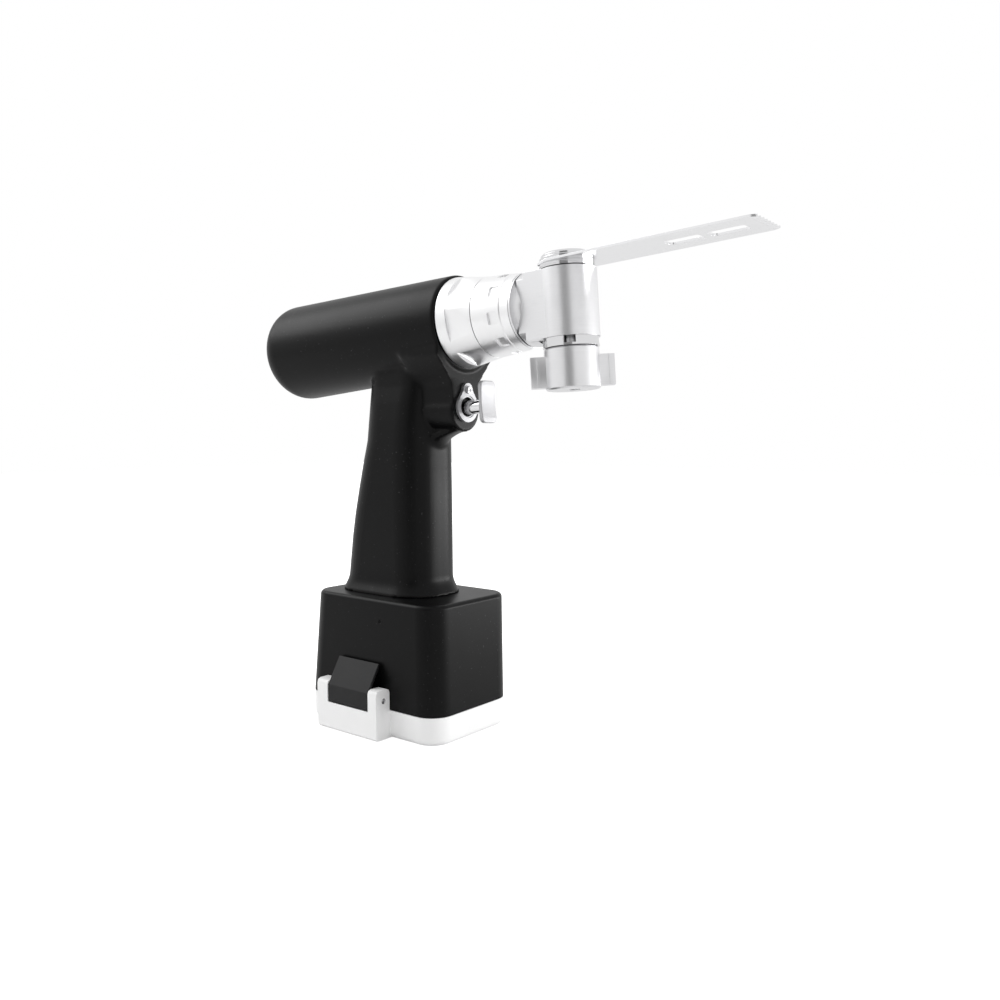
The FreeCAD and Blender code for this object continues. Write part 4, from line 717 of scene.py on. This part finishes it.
@dataclass
class PistolShell(SubAssembly):
    """The black pistol body: barrel, grip with its spreading foot, and trigger boss in one."""
    length: float = 129.0
    front_radius: float = 23.2
    rear_radius: float = 25.9
    rear_round: float = 12.9
    half_width: float = 18.0
    corner: float = 15.5
    foot_height: float = 68.15
    boss_face: float = 40.6
    boss_radius: float = 10.4
    boss_waist: float = 9.8
    boss_height: float = 161.0
    boss_edge: float = 0.6
    foot_rear: float = -33.6
    foot_front: float = 24.6
    fine: float = 0.75
    screw_height: float = 171.0
    passes: tuple[tuple[str, int], ...] = (("flow", 30), ("seam", 7), ("skin", 4))

    def build(self) -> None:
        """Builds and hands over the shell."""
        shell = self.barrel()
        self.merge(shell, [self.grip(), self.boss_round(), self.boss_web(), self.boss_foot()])
        self.relax(shell)
        Bench.combine(shell, self.bores())
        Bench.soften(shell, 0, sharp=40, weigh=False)
        self.hand_over(shell, "handpiece", Slot.black_shell, "handpiece_body")

    def barrel(self) -> Form:
        """The tapered barrel with its round rear edge."""
        lean = math.atan2(self.rear_radius - self.front_radius, self.length)
        profile = [(-self.length, 0.0)]
        along = -self.length + self.rear_round
        out = self.rear_radius - self.rear_round * (1 + lean * 0.5)
        steps = 12
        for i in range(steps + 1):
            angle = math.radians(180 - 90 * i / steps)
            profile.append((along + self.rear_round * math.cos(angle),
                            out + self.rear_round * math.sin(angle)))
        profile += [(-1.2, self.front_radius + 0.02), (-0.5, self.front_radius - 0.2),
                    (-0.12, self.front_radius - 0.6), (0.0, self.front_radius - 1.1), (0.0, 0.0)]
        return Bench.lathe("pistol_shell", profile, BARREL, steps=128)

    def ring(self, rear: float, front: float, grow: float = 0.0,
             slim: float = 0.0) -> list[tuple[float, float]]:
        """One level section of the grip.

        Args:
            rear: where it ends behind.
            front: where it ends in front.
            grow: how far it spreads on all sides.
            slim: how much narrower each flank is.

        Returns:
            The section's outline in millimetres.
        """
        half = self.half_width + grow - slim
        return rounded(rear - grow, front + grow, -half, half, self.corner + grow - slim, 10)

    def grip(self) -> Form:
        """The grip, spreading at its foot and leaning forward to the barrel."""
        flare = [(0.0, 3.0), (0.8, 3.0), (1.6, 2.5), (2.4, 2.1), (3.8, 1.35), (5.2, 0.75),
                 (6.8, 0.25), (8.6, 0.0)]
        rings = [(self.foot_height + rise, self.ring(self.foot_rear, self.foot_front, grow))
                 for rise, grow in flare]
        levels = [(96.0, -31.0, 24.4, 0.0), (108.0, -28.8, 24.25, 0.0), (121.0, -25.8, 24.1, 0.0),
                  (134.0, -22.6, 23.9, 0.1), (146.0, -19.4, 23.8, 0.4), (156.0, -18.4, 23.8, 0.9),
                  (165.0, -17.7, 23.8, 1.8), (173.0, -17.2, 23.8, 3.0), (186.0, -16.8, 23.8, 3.6)]
        rings += [(height, self.ring(low, high, 0.0, slim)) for height, low, high, slim in levels]
        return Bench.loft("grip", rings)

    def boss_foot(self) -> Form:
        """The hollow curve that leads from the boss's lower end down to the grip's front."""
        inside, roundness = 8.0, 0.96
        levels = ((141.0, 23.6, 9.0), (143.2, 24.3, 9.0), (145.4, 25.9, 8.6), (147.2, 28.4, 8.0),
                  (148.8, 31.8, 7.2), (150.0, 35.4, 6.0), (150.8, 38.4, 4.6), (152.5, 39.4, 4.4))
        return Bench.loft("boss_foot", [
            (height, rounded(inside, front, -half, half, half * roundness, 8))
            for height, front, half in levels])

    def boss_round(self) -> Form:
        """The round lower end of the trigger boss."""
        place = shifted(WORLD, 0, 0, self.boss_height)
        edge = self.boss_edge
        profile = [(4.0, 0), (4.0, self.boss_radius), (self.boss_face - edge, self.boss_radius),
                   (self.boss_face, self.boss_radius - edge), (self.boss_face, 0)]
        return Bench.lathe("boss_round", profile, place, steps=72)

    def boss_web(self) -> Form:
        """The web that widens from the boss up to the barrel."""
        flank = ((0.0, 32.8), (0.15, 31.0), (0.7, 28.9), (2.1, 26.7), (4.3, 23.9), (7.9, 19.7),
                 (11.0, 16.2), (11.0, 8.0))
        right = [(self.boss_waist, self.boss_height)]
        right += [(self.boss_waist + out, NOSE[2] - drop) for out, drop in flank]
        outline = right + [(-x, z) for x, z in reversed(right)]
        return Bench.slab("boss_web", outline, 15.0, self.boss_face, Plane.YZ)

    def merge(self, shell: Form, forms: list[Form]) -> None:
        """Joins closed forms to the shell and fuses them on a fine voxel net."""
        Bench.hold(shell)
        for form in forms:
            form.select_set(True)
        bpy.ops.object.join()
        Bench.modify(shell, "REMESH", mode="VOXEL", voxel_size=self.fine * MM, adaptivity=0.0)

    def zones(self, spot: Vector, along: Vector) -> list[str]:
        """The zones of the skin that a point lies in.

        Args:
            spot: the point in the saw's frame, in millimetres.
            along: the same point in the barrel's frame.

        Returns:
            The zones' names. The rim, the boss's face and the foot's edge are in none, and
            so stay crisp.
        """
        rim = along.x > -1.6
        face = spot.x > self.boss_face - 1.2
        foot = spot.z < self.foot_height + 2.0
        if rim or face or foot:
            return []
        found = ["skin"]
        off_barrel = abs(math.hypot(along.y, along.z) - 25.5)
        if along.z < -8 and -86 < along.x < -3 and off_barrel < 6:
            found.append("seam")
        boss_root = 9 < spot.x < 21 and spot.z > 172 and along.z < -12
        boss_foot = 14 < spot.x < 36 and 132 < spot.z < 152
        if boss_root or boss_foot:
            found.append("flow")
        return found

    def relax(self, shell: Form) -> None:
        """Smooths each zone by its number of passes."""
        into_barrel = BARREL.inverted()
        groups = {name: shell.vertex_groups.new(name=name) for name, _ in self.passes}
        for vertex in shell.data.vertices:
            for zone in self.zones(vertex.co / MM, (into_barrel @ vertex.co) / MM):
                groups[zone].add([vertex.index], 1.0, "REPLACE")
        for name, count in self.passes:
            Bench.modify(shell, "SMOOTH", factor=0.5, iterations=count, vertex_group=name)
        shell.vertex_groups.clear()

    def bores(self) -> list[Form]:
        """The barrel's stepped bore, the trigger's bore, the grip's channel and the screw holes."""
        barrel = Bench.lathe("barrel_bore", [
            (-132, 0), (-132, 16.55), (-126, 16.55), (-126, 13.55), (-120, 13.55), (-120, 17.4),
            (-36, 17.4), (-36, 17.6), (-3.0, 17.6), (-3.0, 20.9), (1.0, 22.25), (1.0, 0)],
            BARREL, steps=128)
        stem = Bench.rod("stem_bore", 5.45, -46, 12, STEM, steps=64)
        channel = Bench.slab("channel", rounded(-11, 15, -8.5, 8.5, 0.5, 2), 67, 189.3, Plane.XY)
        screw = Bench.rod("screw_bore", 1.13, 31.6, 42, shifted(WORLD, 0, 0, self.screw_height),
                          steps=24)
        return [barrel, stem, channel, screw]


@dataclass
class QuickCoupling(SubAssembly):
    """The rings between barrel and saw head."""
    ring_roll: float = -19.0
    sleeve_roll: float = 22.0
    flats: int = 6
    notches: int = 9

    def build(self) -> None:
        """Builds and hands over both rings."""
        self.hand_over(self.lock_ring(), "lock_collar", Slot.pale_steel, "lock_ring")
        self.hand_over(self.head_sleeve(), "saw_head", Slot.pale_steel, "head_sleeve")

    def lock_ring(self) -> Form:
        """The ring with six flats that is turned to free the head."""
        frame = rolled(BARREL, self.ring_roll)
        ring = Bench.lathe("lock_ring_piece", [
            (0.6, 14.55), (0.6, 22.0), (19.25, 19.05), (19.25, 14.55), (16.25, 14.55), (16.25, 17.0),
            (13.0, 17.0), (13.0, 15.4), (7.0, 15.4), (7.0, 17.0), (3.6, 17.0), (3.6, 14.55), (0.6, 14.55)],
            frame, steps=120)
        wedge = [(5.7, 19.6), (20.5, 19.6), (20.5, 24.0), (6.4, 24.0)]
        flat = Bench.slab("flat", wedge, -44, 44, Plane.XZ, frame)
        Bench.combine(ring, Bench.around(flat, self.flats, frame, "X"))
        return Bench.soften(ring, 0.35, 3, 24)

    def head_sleeve(self) -> Form:
        """The stop ring with nine notches."""
        frame = rolled(BARREL, self.sleeve_roll)
        sleeve = Bench.lathe("head_sleeve_piece", [
            (19.65, 12.28), (19.65, 19.05), (35.0, 17.85), (35.4, 17.5), (40.0, 17.35), (40.0, 12.28),
            (19.65, 12.28)], frame, steps=120)
        outline = rounded(28.6, 33.8, -2.8, 2.8, 0.5, 3)
        notch = Bench.slab("notch", outline, 17.25, 20.5, Plane.XY, frame)
        Bench.combine(sleeve, Bench.around(notch, self.notches, frame, "X"))
        return Bench.soften(sleeve, 0.22, 2, 24)


@dataclass
class SawHead(SubAssembly):
    """The head's housing with its upright barrel, and the slotted nut under it."""
    bottom: float = -15.6
    neck_roll: float = -58.0

    def build(self) -> None:
        """Builds and hands over the housing and the nut."""
        self.hand_over(self.housing(), "saw_head", Slot.turned_steel)
        self.hand_over(self.neck(), "saw_head", Slot.polished_steel, "neck_nut")

    def housing(self) -> Form:
        """Collar, flat-sided arm and upright barrel, with their edges rounded."""
        return Bench.recast("head_housing", "head_housing_piece", 0.5, 32)

    def neck(self) -> Form:
        """The bright nut with four slots that open upwards."""
        frame = turned(HEAD, self.neck_roll)
        low, high = self.bottom - 4.15, self.bottom - 0.05
        nut = Bench.lathe("neck_nut_piece", [
            (low, 7.4), (low, 12.7), (high, 12.7), (high, 10.4), (-10.75, 10.4), (-10.75, 7.4), (low, 7.4)],
            frame, upright=True, steps=112)
        slot = Bench.slab("nut_slot", [(6.0, -2.5), (14, -2.5), (14, 2.5), (6.0, 2.5)],
                          self.bottom - 3.2, self.bottom + 1, Plane.XY, frame)
        Bench.combine(nut, Bench.around(slot, 4, frame, "Z"))
        return Bench.soften(nut, 0.25, 3, 30)


@dataclass
class BladeClamp(SubAssembly):
    """Blade, the cap and flange that hold it, and the knob that lets it go."""
    half_width: float = 14.1
    reach: float = 92.4
    teeth: int = 8
    depth: float = 2.8
    under: float = 17.25
    over: float = 18.25
    pins: int = 4
    pin_circle: float = 8.4
    knob_roll: float = 36.0
    line_offset: tuple[float, float] = (15.9, 3.75)

    def build(self) -> None:
        """Builds and hands over blade, cap, flange and knob."""
        self.hand_over(self.blade(), "oscillator", Slot.blade_steel, "blade")
        self.hand_over(self.flange(), "oscillator", Slot.polished_steel, "blade_flange")
        self.hand_over(self.cap(), "clamp", Slot.polished_steel, "clamp_cap")
        self.hand_over(self.knob(), "clamp_knob", Slot.turned_steel)

    def pin_holes(self, low: float, high: float) -> list[Form]:
        """Four rods where the flange's pins pass, from one height to another."""
        spot = shifted(turned(SWUNG, 45), self.pin_circle, 0, 0)
        hole = Bench.rod("pin_hole", 1.3, low, high, spot, upright=True, steps=24)
        return Bench.around(hole, self.pins, SWUNG, "Z")

    def blade(self) -> Form:
        """The blade, with pointed teeth, two long windows and the holes of its hub."""
        low, high = self.under - 1, self.over + 1
        side, gullet = self.half_width, self.reach - self.depth
        pitch = 2 * side / self.teeth
        outline = [(-10.5, -8.0), (-3.0, -side)]
        for i in range(self.teeth):
            outline += [(gullet, -side + i * pitch), (self.reach, -side + (i + 0.5) * pitch)]
        outline += [(gullet, side), (-3.0, side), (-10.5, 8.0)]
        blade = Bench.slab("saw_blade", outline, self.under, self.over, Plane.XY, SWUNG)
        holes = [Bench.slab("window", rounded(start, start + 15.5, -4.1, 4.1, 1.4, 4), low, high,
                            Plane.XY, SWUNG) for start in (49.0, 68.2)]
        mouth = [(-12, -3.3), (0, -3.3), (0, 3.3), (-12, 3.3)]
        holes.append(Bench.rod("hub", 4.2, low, high, SWUNG, upright=True, steps=48))
        holes.append(Bench.slab("mouth", mouth, low, high, Plane.XY, SWUNG))
        Bench.combine(blade, holes + self.pin_holes(low, high))
        return Bench.soften(blade, 0.14, 2, 40)

    def flange(self) -> Form:
        """The flange under the blade, with a fine line turned in it and its locating pins."""
        frame = turned(SWUNG, 45)
        flange = Bench.lathe("blade_flange_piece", [
            (17.2, 3.3), (17.2, 12.3), (16.1, 12.3), (16.1, 12.0), (15.85, 12.0), (15.85, 12.3),
            (15.3, 12.3), (15.3, 6.03), (16.05, 6.03), (16.05, 3.3), (17.2, 3.3)],
            frame, upright=True, steps=112)
        pin = Bench.lathe("pin", [(16.6, 0), (16.6, 1.0), (18.8, 1.0), (19.0, 0.8), (19.0, 0)],
                          shifted(frame, self.pin_circle, 0, 0), upright=True, steps=24)
        Bench.combine(flange, Bench.around(pin, self.pins, frame, "Z"), "UNION")
        return Bench.soften(flange, 0.14, 2, 30)

    def cap(self) -> Form:
        """The bright cap on the blade, stepped at its edge and dished on top."""
        cap = Bench.lathe("clamp_cap_piece", [
            (18.3, 3.03), (18.3, 12.2), (19.8, 12.2), (20.05, 11.5), (21.0, 11.5), (21.9, 10.5),
            (21.9, 8.0), (21.4, 7.5), (21.4, 3.03), (18.3, 3.03)], SWUNG, upright=True, steps=112)
        Bench.combine(cap, self.pin_holes(17, 19.5))
        return Bench.soften(cap, 0.16, 2, 30)

    def knob(self) -> Form:
        """The knob, with two lugs and a thin line on each side of both."""
        knob = Bench.recast("knob", "clamp_knob_piece", 0.35, 32)
        out, side = self.line_offset
        for offset in (-side, side):
            spot = shifted(turned(SWUNG, self.knob_roll), out, offset, 0)
            line = Bench.rod("lug_line", 0.6, -40, -20, spot, upright=True, steps=20)
            Bench.combine(knob, Bench.around(line, 2, SWUNG, "Z"))
        return knob


@dataclass
class Trigger(SubAssembly):
    """The finger pad on its stem, and the keyhole plate that guides it."""
    pad_width: float = 10.7
    pad_height: float = 20.3
    pad_rise: float = 1.7
    plate_height: float = 162.7
    plate_thick: float = 1.6
    screw_rise: float = 8.3
    face: float = 40.65

    def build(self) -> None:
        """Builds and hands over pad, stem, plate and screw."""
        self.hand_over(self.pad(), "trigger", Slot.satin_steel, "finger_pad")
        self.hand_over(self.stem(), "trigger", Slot.polished_steel, "trigger_stem")
        self.hand_over(self.plate(), "handpiece", Slot.satin_steel, "guide_plate")
        self.hand_over(self.screw(), "handpiece", Slot.polished_steel, "guide_plate_screw")

    def pad(self) -> Form:
        """The finger pad, a little hollow where the finger rests."""
        half, tall = self.pad_width / 2, self.pad_height / 2
        outline = rounded(-half, half, self.pad_rise - tall, self.pad_rise + tall, 2.6, 8)
        pad = Bench.slab("finger_pad_piece", outline, 10.2, 12.6, Plane.YZ, STEM)
        hollow = [(12.1 + 0.0083 * z * z, z + self.pad_rise) for z in range(-12, 13, 2)]
        hollow += [(16, 12 + self.pad_rise), (16, -12 + self.pad_rise)]
        tool = Bench.slab("hollow", hollow, -9, 9, Plane.XZ, STEM)
        socket = Bench.rod("socket", 3.48, 9, 11.65, STEM, steps=48)
        Bench.combine(pad, [tool, socket])
        return Bench.soften(pad, 1.0, 5, 30)

    def stem(self) -> Form:
        """The stem with its collar inside the boss."""
        stem = Bench.lathe("trigger_stem_piece", [
            (-17.8, 0), (-17.8, 4.6), (-15.3, 4.6), (-15.3, 3.45), (11.6, 3.45), (11.6, 0)],
            STEM, steps=72)
        return Bench.soften(stem, 0.2, 2, 30)

    def plate(self) -> Form:
        """The keyhole plate, with a stepped hole for the stem and a small one for its screw."""
        rise, thick = self.plate_height + self.screw_rise, self.plate_thick
        place = shifted(WORLD, self.face, 0, self.plate_height)
        upper = shifted(WORLD, self.face, 0, rise)
        plate = Bench.rod("guide_plate_piece", 7.4, 0, thick, place, steps=88)
        ear = Bench.rod("ear", 3.3, 0, thick, upper, steps=56)
        base = self.plate_height + 5.1
        flanks = [(-5.33, base), (-3.23, rise), (3.23, rise), (5.33, base)]
        web = Bench.slab("ear_web", flanks, self.face, self.face + thick, Plane.YZ)
        Bench.combine(plate, [web, ear], "UNION")
        hole = Bench.lathe("plate_hole", [
            (-1, 0), (-1, 4.8), (1.1, 4.8), (1.1, 5.5), (3, 5.5), (3, 0)], place, steps=72)
        sink = Bench.rod("plate_sink", 1.4, -1, 3, upper, steps=32)
        Bench.combine(plate, [hole, sink])
        return Bench.soften(plate, 0.3, 3, 30)

    def screw(self) -> Form:
        """The plate's screw, with a hexagon socket."""
        place = shifted(WORLD, self.face - 0.05, 0, self.plate_height + self.screw_rise)
        screw = Bench.lathe("plate_screw_piece", [
            (-9, 0), (-9, 1.1), (1.7, 1.1), (1.7, 1.9), (2.9, 1.9), (2.9, 0)], place, steps=40)
        turns = [math.radians(60 * i) for i in range(6)]
        hexagon = [(0.85 * math.cos(turn), 0.85 * math.sin(turn)) for turn in turns]
        socket = Bench.slab("hexagon", hexagon, 1.95, 4.0, Plane.YZ, place)
        Bench.combine(screw, [socket])
        return Bench.soften(screw, 0.15, 2, 30)


@dataclass
class BatteryBox(SubAssembly):
    """The box under the grip with its white cover, and the latch that holds the cover."""

    def build(self) -> None:
        """Builds and hands over box, cover, flap and pin."""
        rows = (("battery_housing", "battery_box_piece", 0.25, 50, "handpiece", Slot.black_shell),
                ("battery_cover", "battery_cover_piece", 0.6, 40, "cover", Slot.white_cover),
                ("latch_flap", "latch_flap_piece", 0.3, 30, "latch", Slot.dark_polymer),
                ("latch_pin", "latch_pin_piece", 0.2, 40, "cover", Slot.polished_steel))
        for node, name, width, sharp, body, slot in rows:
            self.hand_over(Bench.recast(node, name, width, sharp), body, slot)


@dataclass
class RearCap(SubAssembly):
    """The turned cap in the barrel's rear end."""
    radius: float = 16.5
    start: float = -131.8
    shoulder: float = -126.05

    def build(self) -> None:
        """Builds and hands over the cap, with a raised rim and a dished middle."""
        begin, shoulder = self.start, self.shoulder
        cap = Bench.lathe("rear_cap_piece", [
            (begin + 1.0, 0), (begin + 1.0, 11.8), (begin + 0.5, 12.6), (begin, 13.2), (begin, 16.0),
            (begin + 0.5, self.radius), (shoulder, self.radius), (shoulder, 13.5), (-124.0, 13.5),
            (-124.0, 12.0), (-122.3, 12.0), (-122.3, 13.5), (-120.5, 13.5), (-120.5, 0)],
            BARREL, steps=112)
        self.hand_over(Bench.soften(cap, 0.2, 2, 30), "handpiece", Slot.satin_steel, "rear_cap")


@dataclass
class Studio:
    """The pale floor, soft lamps, a dark card for the metal to show, and the camera."""
    camera_place: Triple = (340.95, -350.37, 151.2)
    heading: float = 38.527
    pitch: float = 4.231
    lens: float = 33.78
    floor_colour: Triple = (0.80, 0.80, 0.80)
    floor_glow: float = 0.8
    surround: float = 0.90
    backdrop: float = 0.10
    aim: Triple = (0, 0, 0.12)
    card_distance: float = 1.2
    card_height: float = 0.4

    def build(self) -> None:
        """Sets up floor, world, lamps, card and camera."""
        self.floor()
        self.world()
        self.lamp("key", (0.78, 0.70, 0.075), (1.0, 0.13), 5.2)
        self.lamp("top", (-0.75, -0.38, 0.85), (0.7, 0.7), 5.0)
        self.card(-14, 0.75, 0.22)
        self.camera()
        bpy.context.scene.view_settings.view_transform = "Standard"

    def floor(self) -> None:
        """A wide floor that shows white to the camera and keeps the shadow."""
        floor = Bench.sheet("floor", 6)
        recipe = Recipe("floor_paper")
        path = recipe.node("ShaderNodeLightPath", {}, {})
        seen = Signal(recipe, path.outputs["Is Camera Ray"])
        diffuse = recipe.node("ShaderNodeBsdfDiffuse", {}, {"Color": (*self.floor_colour, 1.0)})
        glow = recipe.node("ShaderNodeEmission", {},
                           {"Color": (1, 1, 1, 1), "Strength": seen * self.floor_glow})
        both = recipe.node("ShaderNodeAddShader", {}, {0: diffuse.outputs[0], 1: glow.outputs[0]})
        output = next(node for node in recipe.nodes if node.type == "OUTPUT_MATERIAL")
        recipe.links.new(both.outputs[0], output.inputs["Surface"])
        recipe.nodes.remove(recipe.shader)
        floor.data.materials.append(recipe.material)

    def world(self) -> None:
        """A white surround: full to the camera, a little softer as light."""
        world = bpy.data.worlds.new("studio")
        bpy.context.scene.world = world
        world.use_nodes = True
        nodes, links = world.node_tree.nodes, world.node_tree.links
        back = nodes["Background"]
        back.inputs["Color"].default_value = (1, 1, 1, 1)
        path = nodes.new("ShaderNodeLightPath")
        seen = nodes.new("ShaderNodeMath")
        seen.operation = "MULTIPLY_ADD"
        links.new(path.outputs["Is Camera Ray"], seen.inputs[0])
        seen.inputs[1].default_value = self.backdrop
        seen.inputs[2].default_value = self.surround
        links.new(seen.outputs[0], back.inputs["Strength"])

    def lamp(self, name: str, place: Triple, size: tuple[float, float], power: float) -> None:
        """A soft lamp that faces the saw.

        Args:
            name: the lamp's name.
            place: where it stands, in metres.
            size: its width and height in metres.
            power: its power in watts.
        """
        data = bpy.data.lights.new(name, "AREA")
        data.energy = power
        data.shape = "RECTANGLE"
        data.size, data.size_y = size
        lamp = Bench.add(name, data)
        lamp.location = place
        sight = Vector(self.aim) - lamp.location
        lamp.rotation_euler = sight.to_track_quat("-Z", "Y").to_euler()

    def card(self, side: float, width: float, tone: float) -> None:
        """An upright card behind the camera, which metal and polymer show as a dark band.

        Args:
            side: its bearing from the camera's, in degrees, to the left below 0.
            width: its width in metres.
            tone: how pale it is, from 0 to 1.
        """
        card = Bench.sheet("dark_card", 1)
        bearing = math.radians(self.heading - 90 + side)
        place = Vector((self.card_distance * math.cos(bearing),
                        self.card_distance * math.sin(bearing), self.card_height))
        frame = (Matrix.Translation(place) @ Matrix.Rotation(bearing, 4, "Z")
                 @ Matrix.Rotation(math.radians(90), 4, "Y") @ Matrix.Diagonal((0.8, width, 1, 1)))
        Bench.place(card, frame)
        recipe = Recipe("card_paper")
        recipe.set(base_color=(tone, tone, tone, 1), roughness=0.9)
        card.data.materials.append(recipe.material)

    def camera(self) -> None:
        """The camera of the photograph."""
        data = bpy.data.cameras.new("camera")
        data.lens = self.lens
        data.sensor_width = 36.0
        data.sensor_fit = "HORIZONTAL"
        data.clip_start = 0.01
        camera = Bench.add("camera", data)
        camera.location = Vector(self.camera_place) * MM
        camera.rotation_euler = (math.radians(90 - self.pitch), 0.0, math.radians(self.heading))
        bpy.context.scene.camera = camera


def main() -> None:
    """Builds the studio and every group of pieces, and reports each piece."""
    logging.basicConfig(level=logging.INFO, format="%(message)s", stream=sys.stdout)
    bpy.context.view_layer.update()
    dresser = Dresser()
    dresser.dress_nodes()
    for group in (PistolShell, RearCap, QuickCoupling, SawHead, BladeClamp, Trigger, BatteryBox):
        group(dresser).build()
        LOG.info("%s done", group.__name__)
    Studio().build()


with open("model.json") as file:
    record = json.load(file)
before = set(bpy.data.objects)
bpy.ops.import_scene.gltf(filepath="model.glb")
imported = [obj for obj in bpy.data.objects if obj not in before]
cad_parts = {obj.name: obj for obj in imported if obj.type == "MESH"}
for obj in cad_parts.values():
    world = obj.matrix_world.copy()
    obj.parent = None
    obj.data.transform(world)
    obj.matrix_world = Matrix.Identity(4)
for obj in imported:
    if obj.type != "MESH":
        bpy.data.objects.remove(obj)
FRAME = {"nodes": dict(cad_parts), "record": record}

if __name__ == "__main__":
    main()
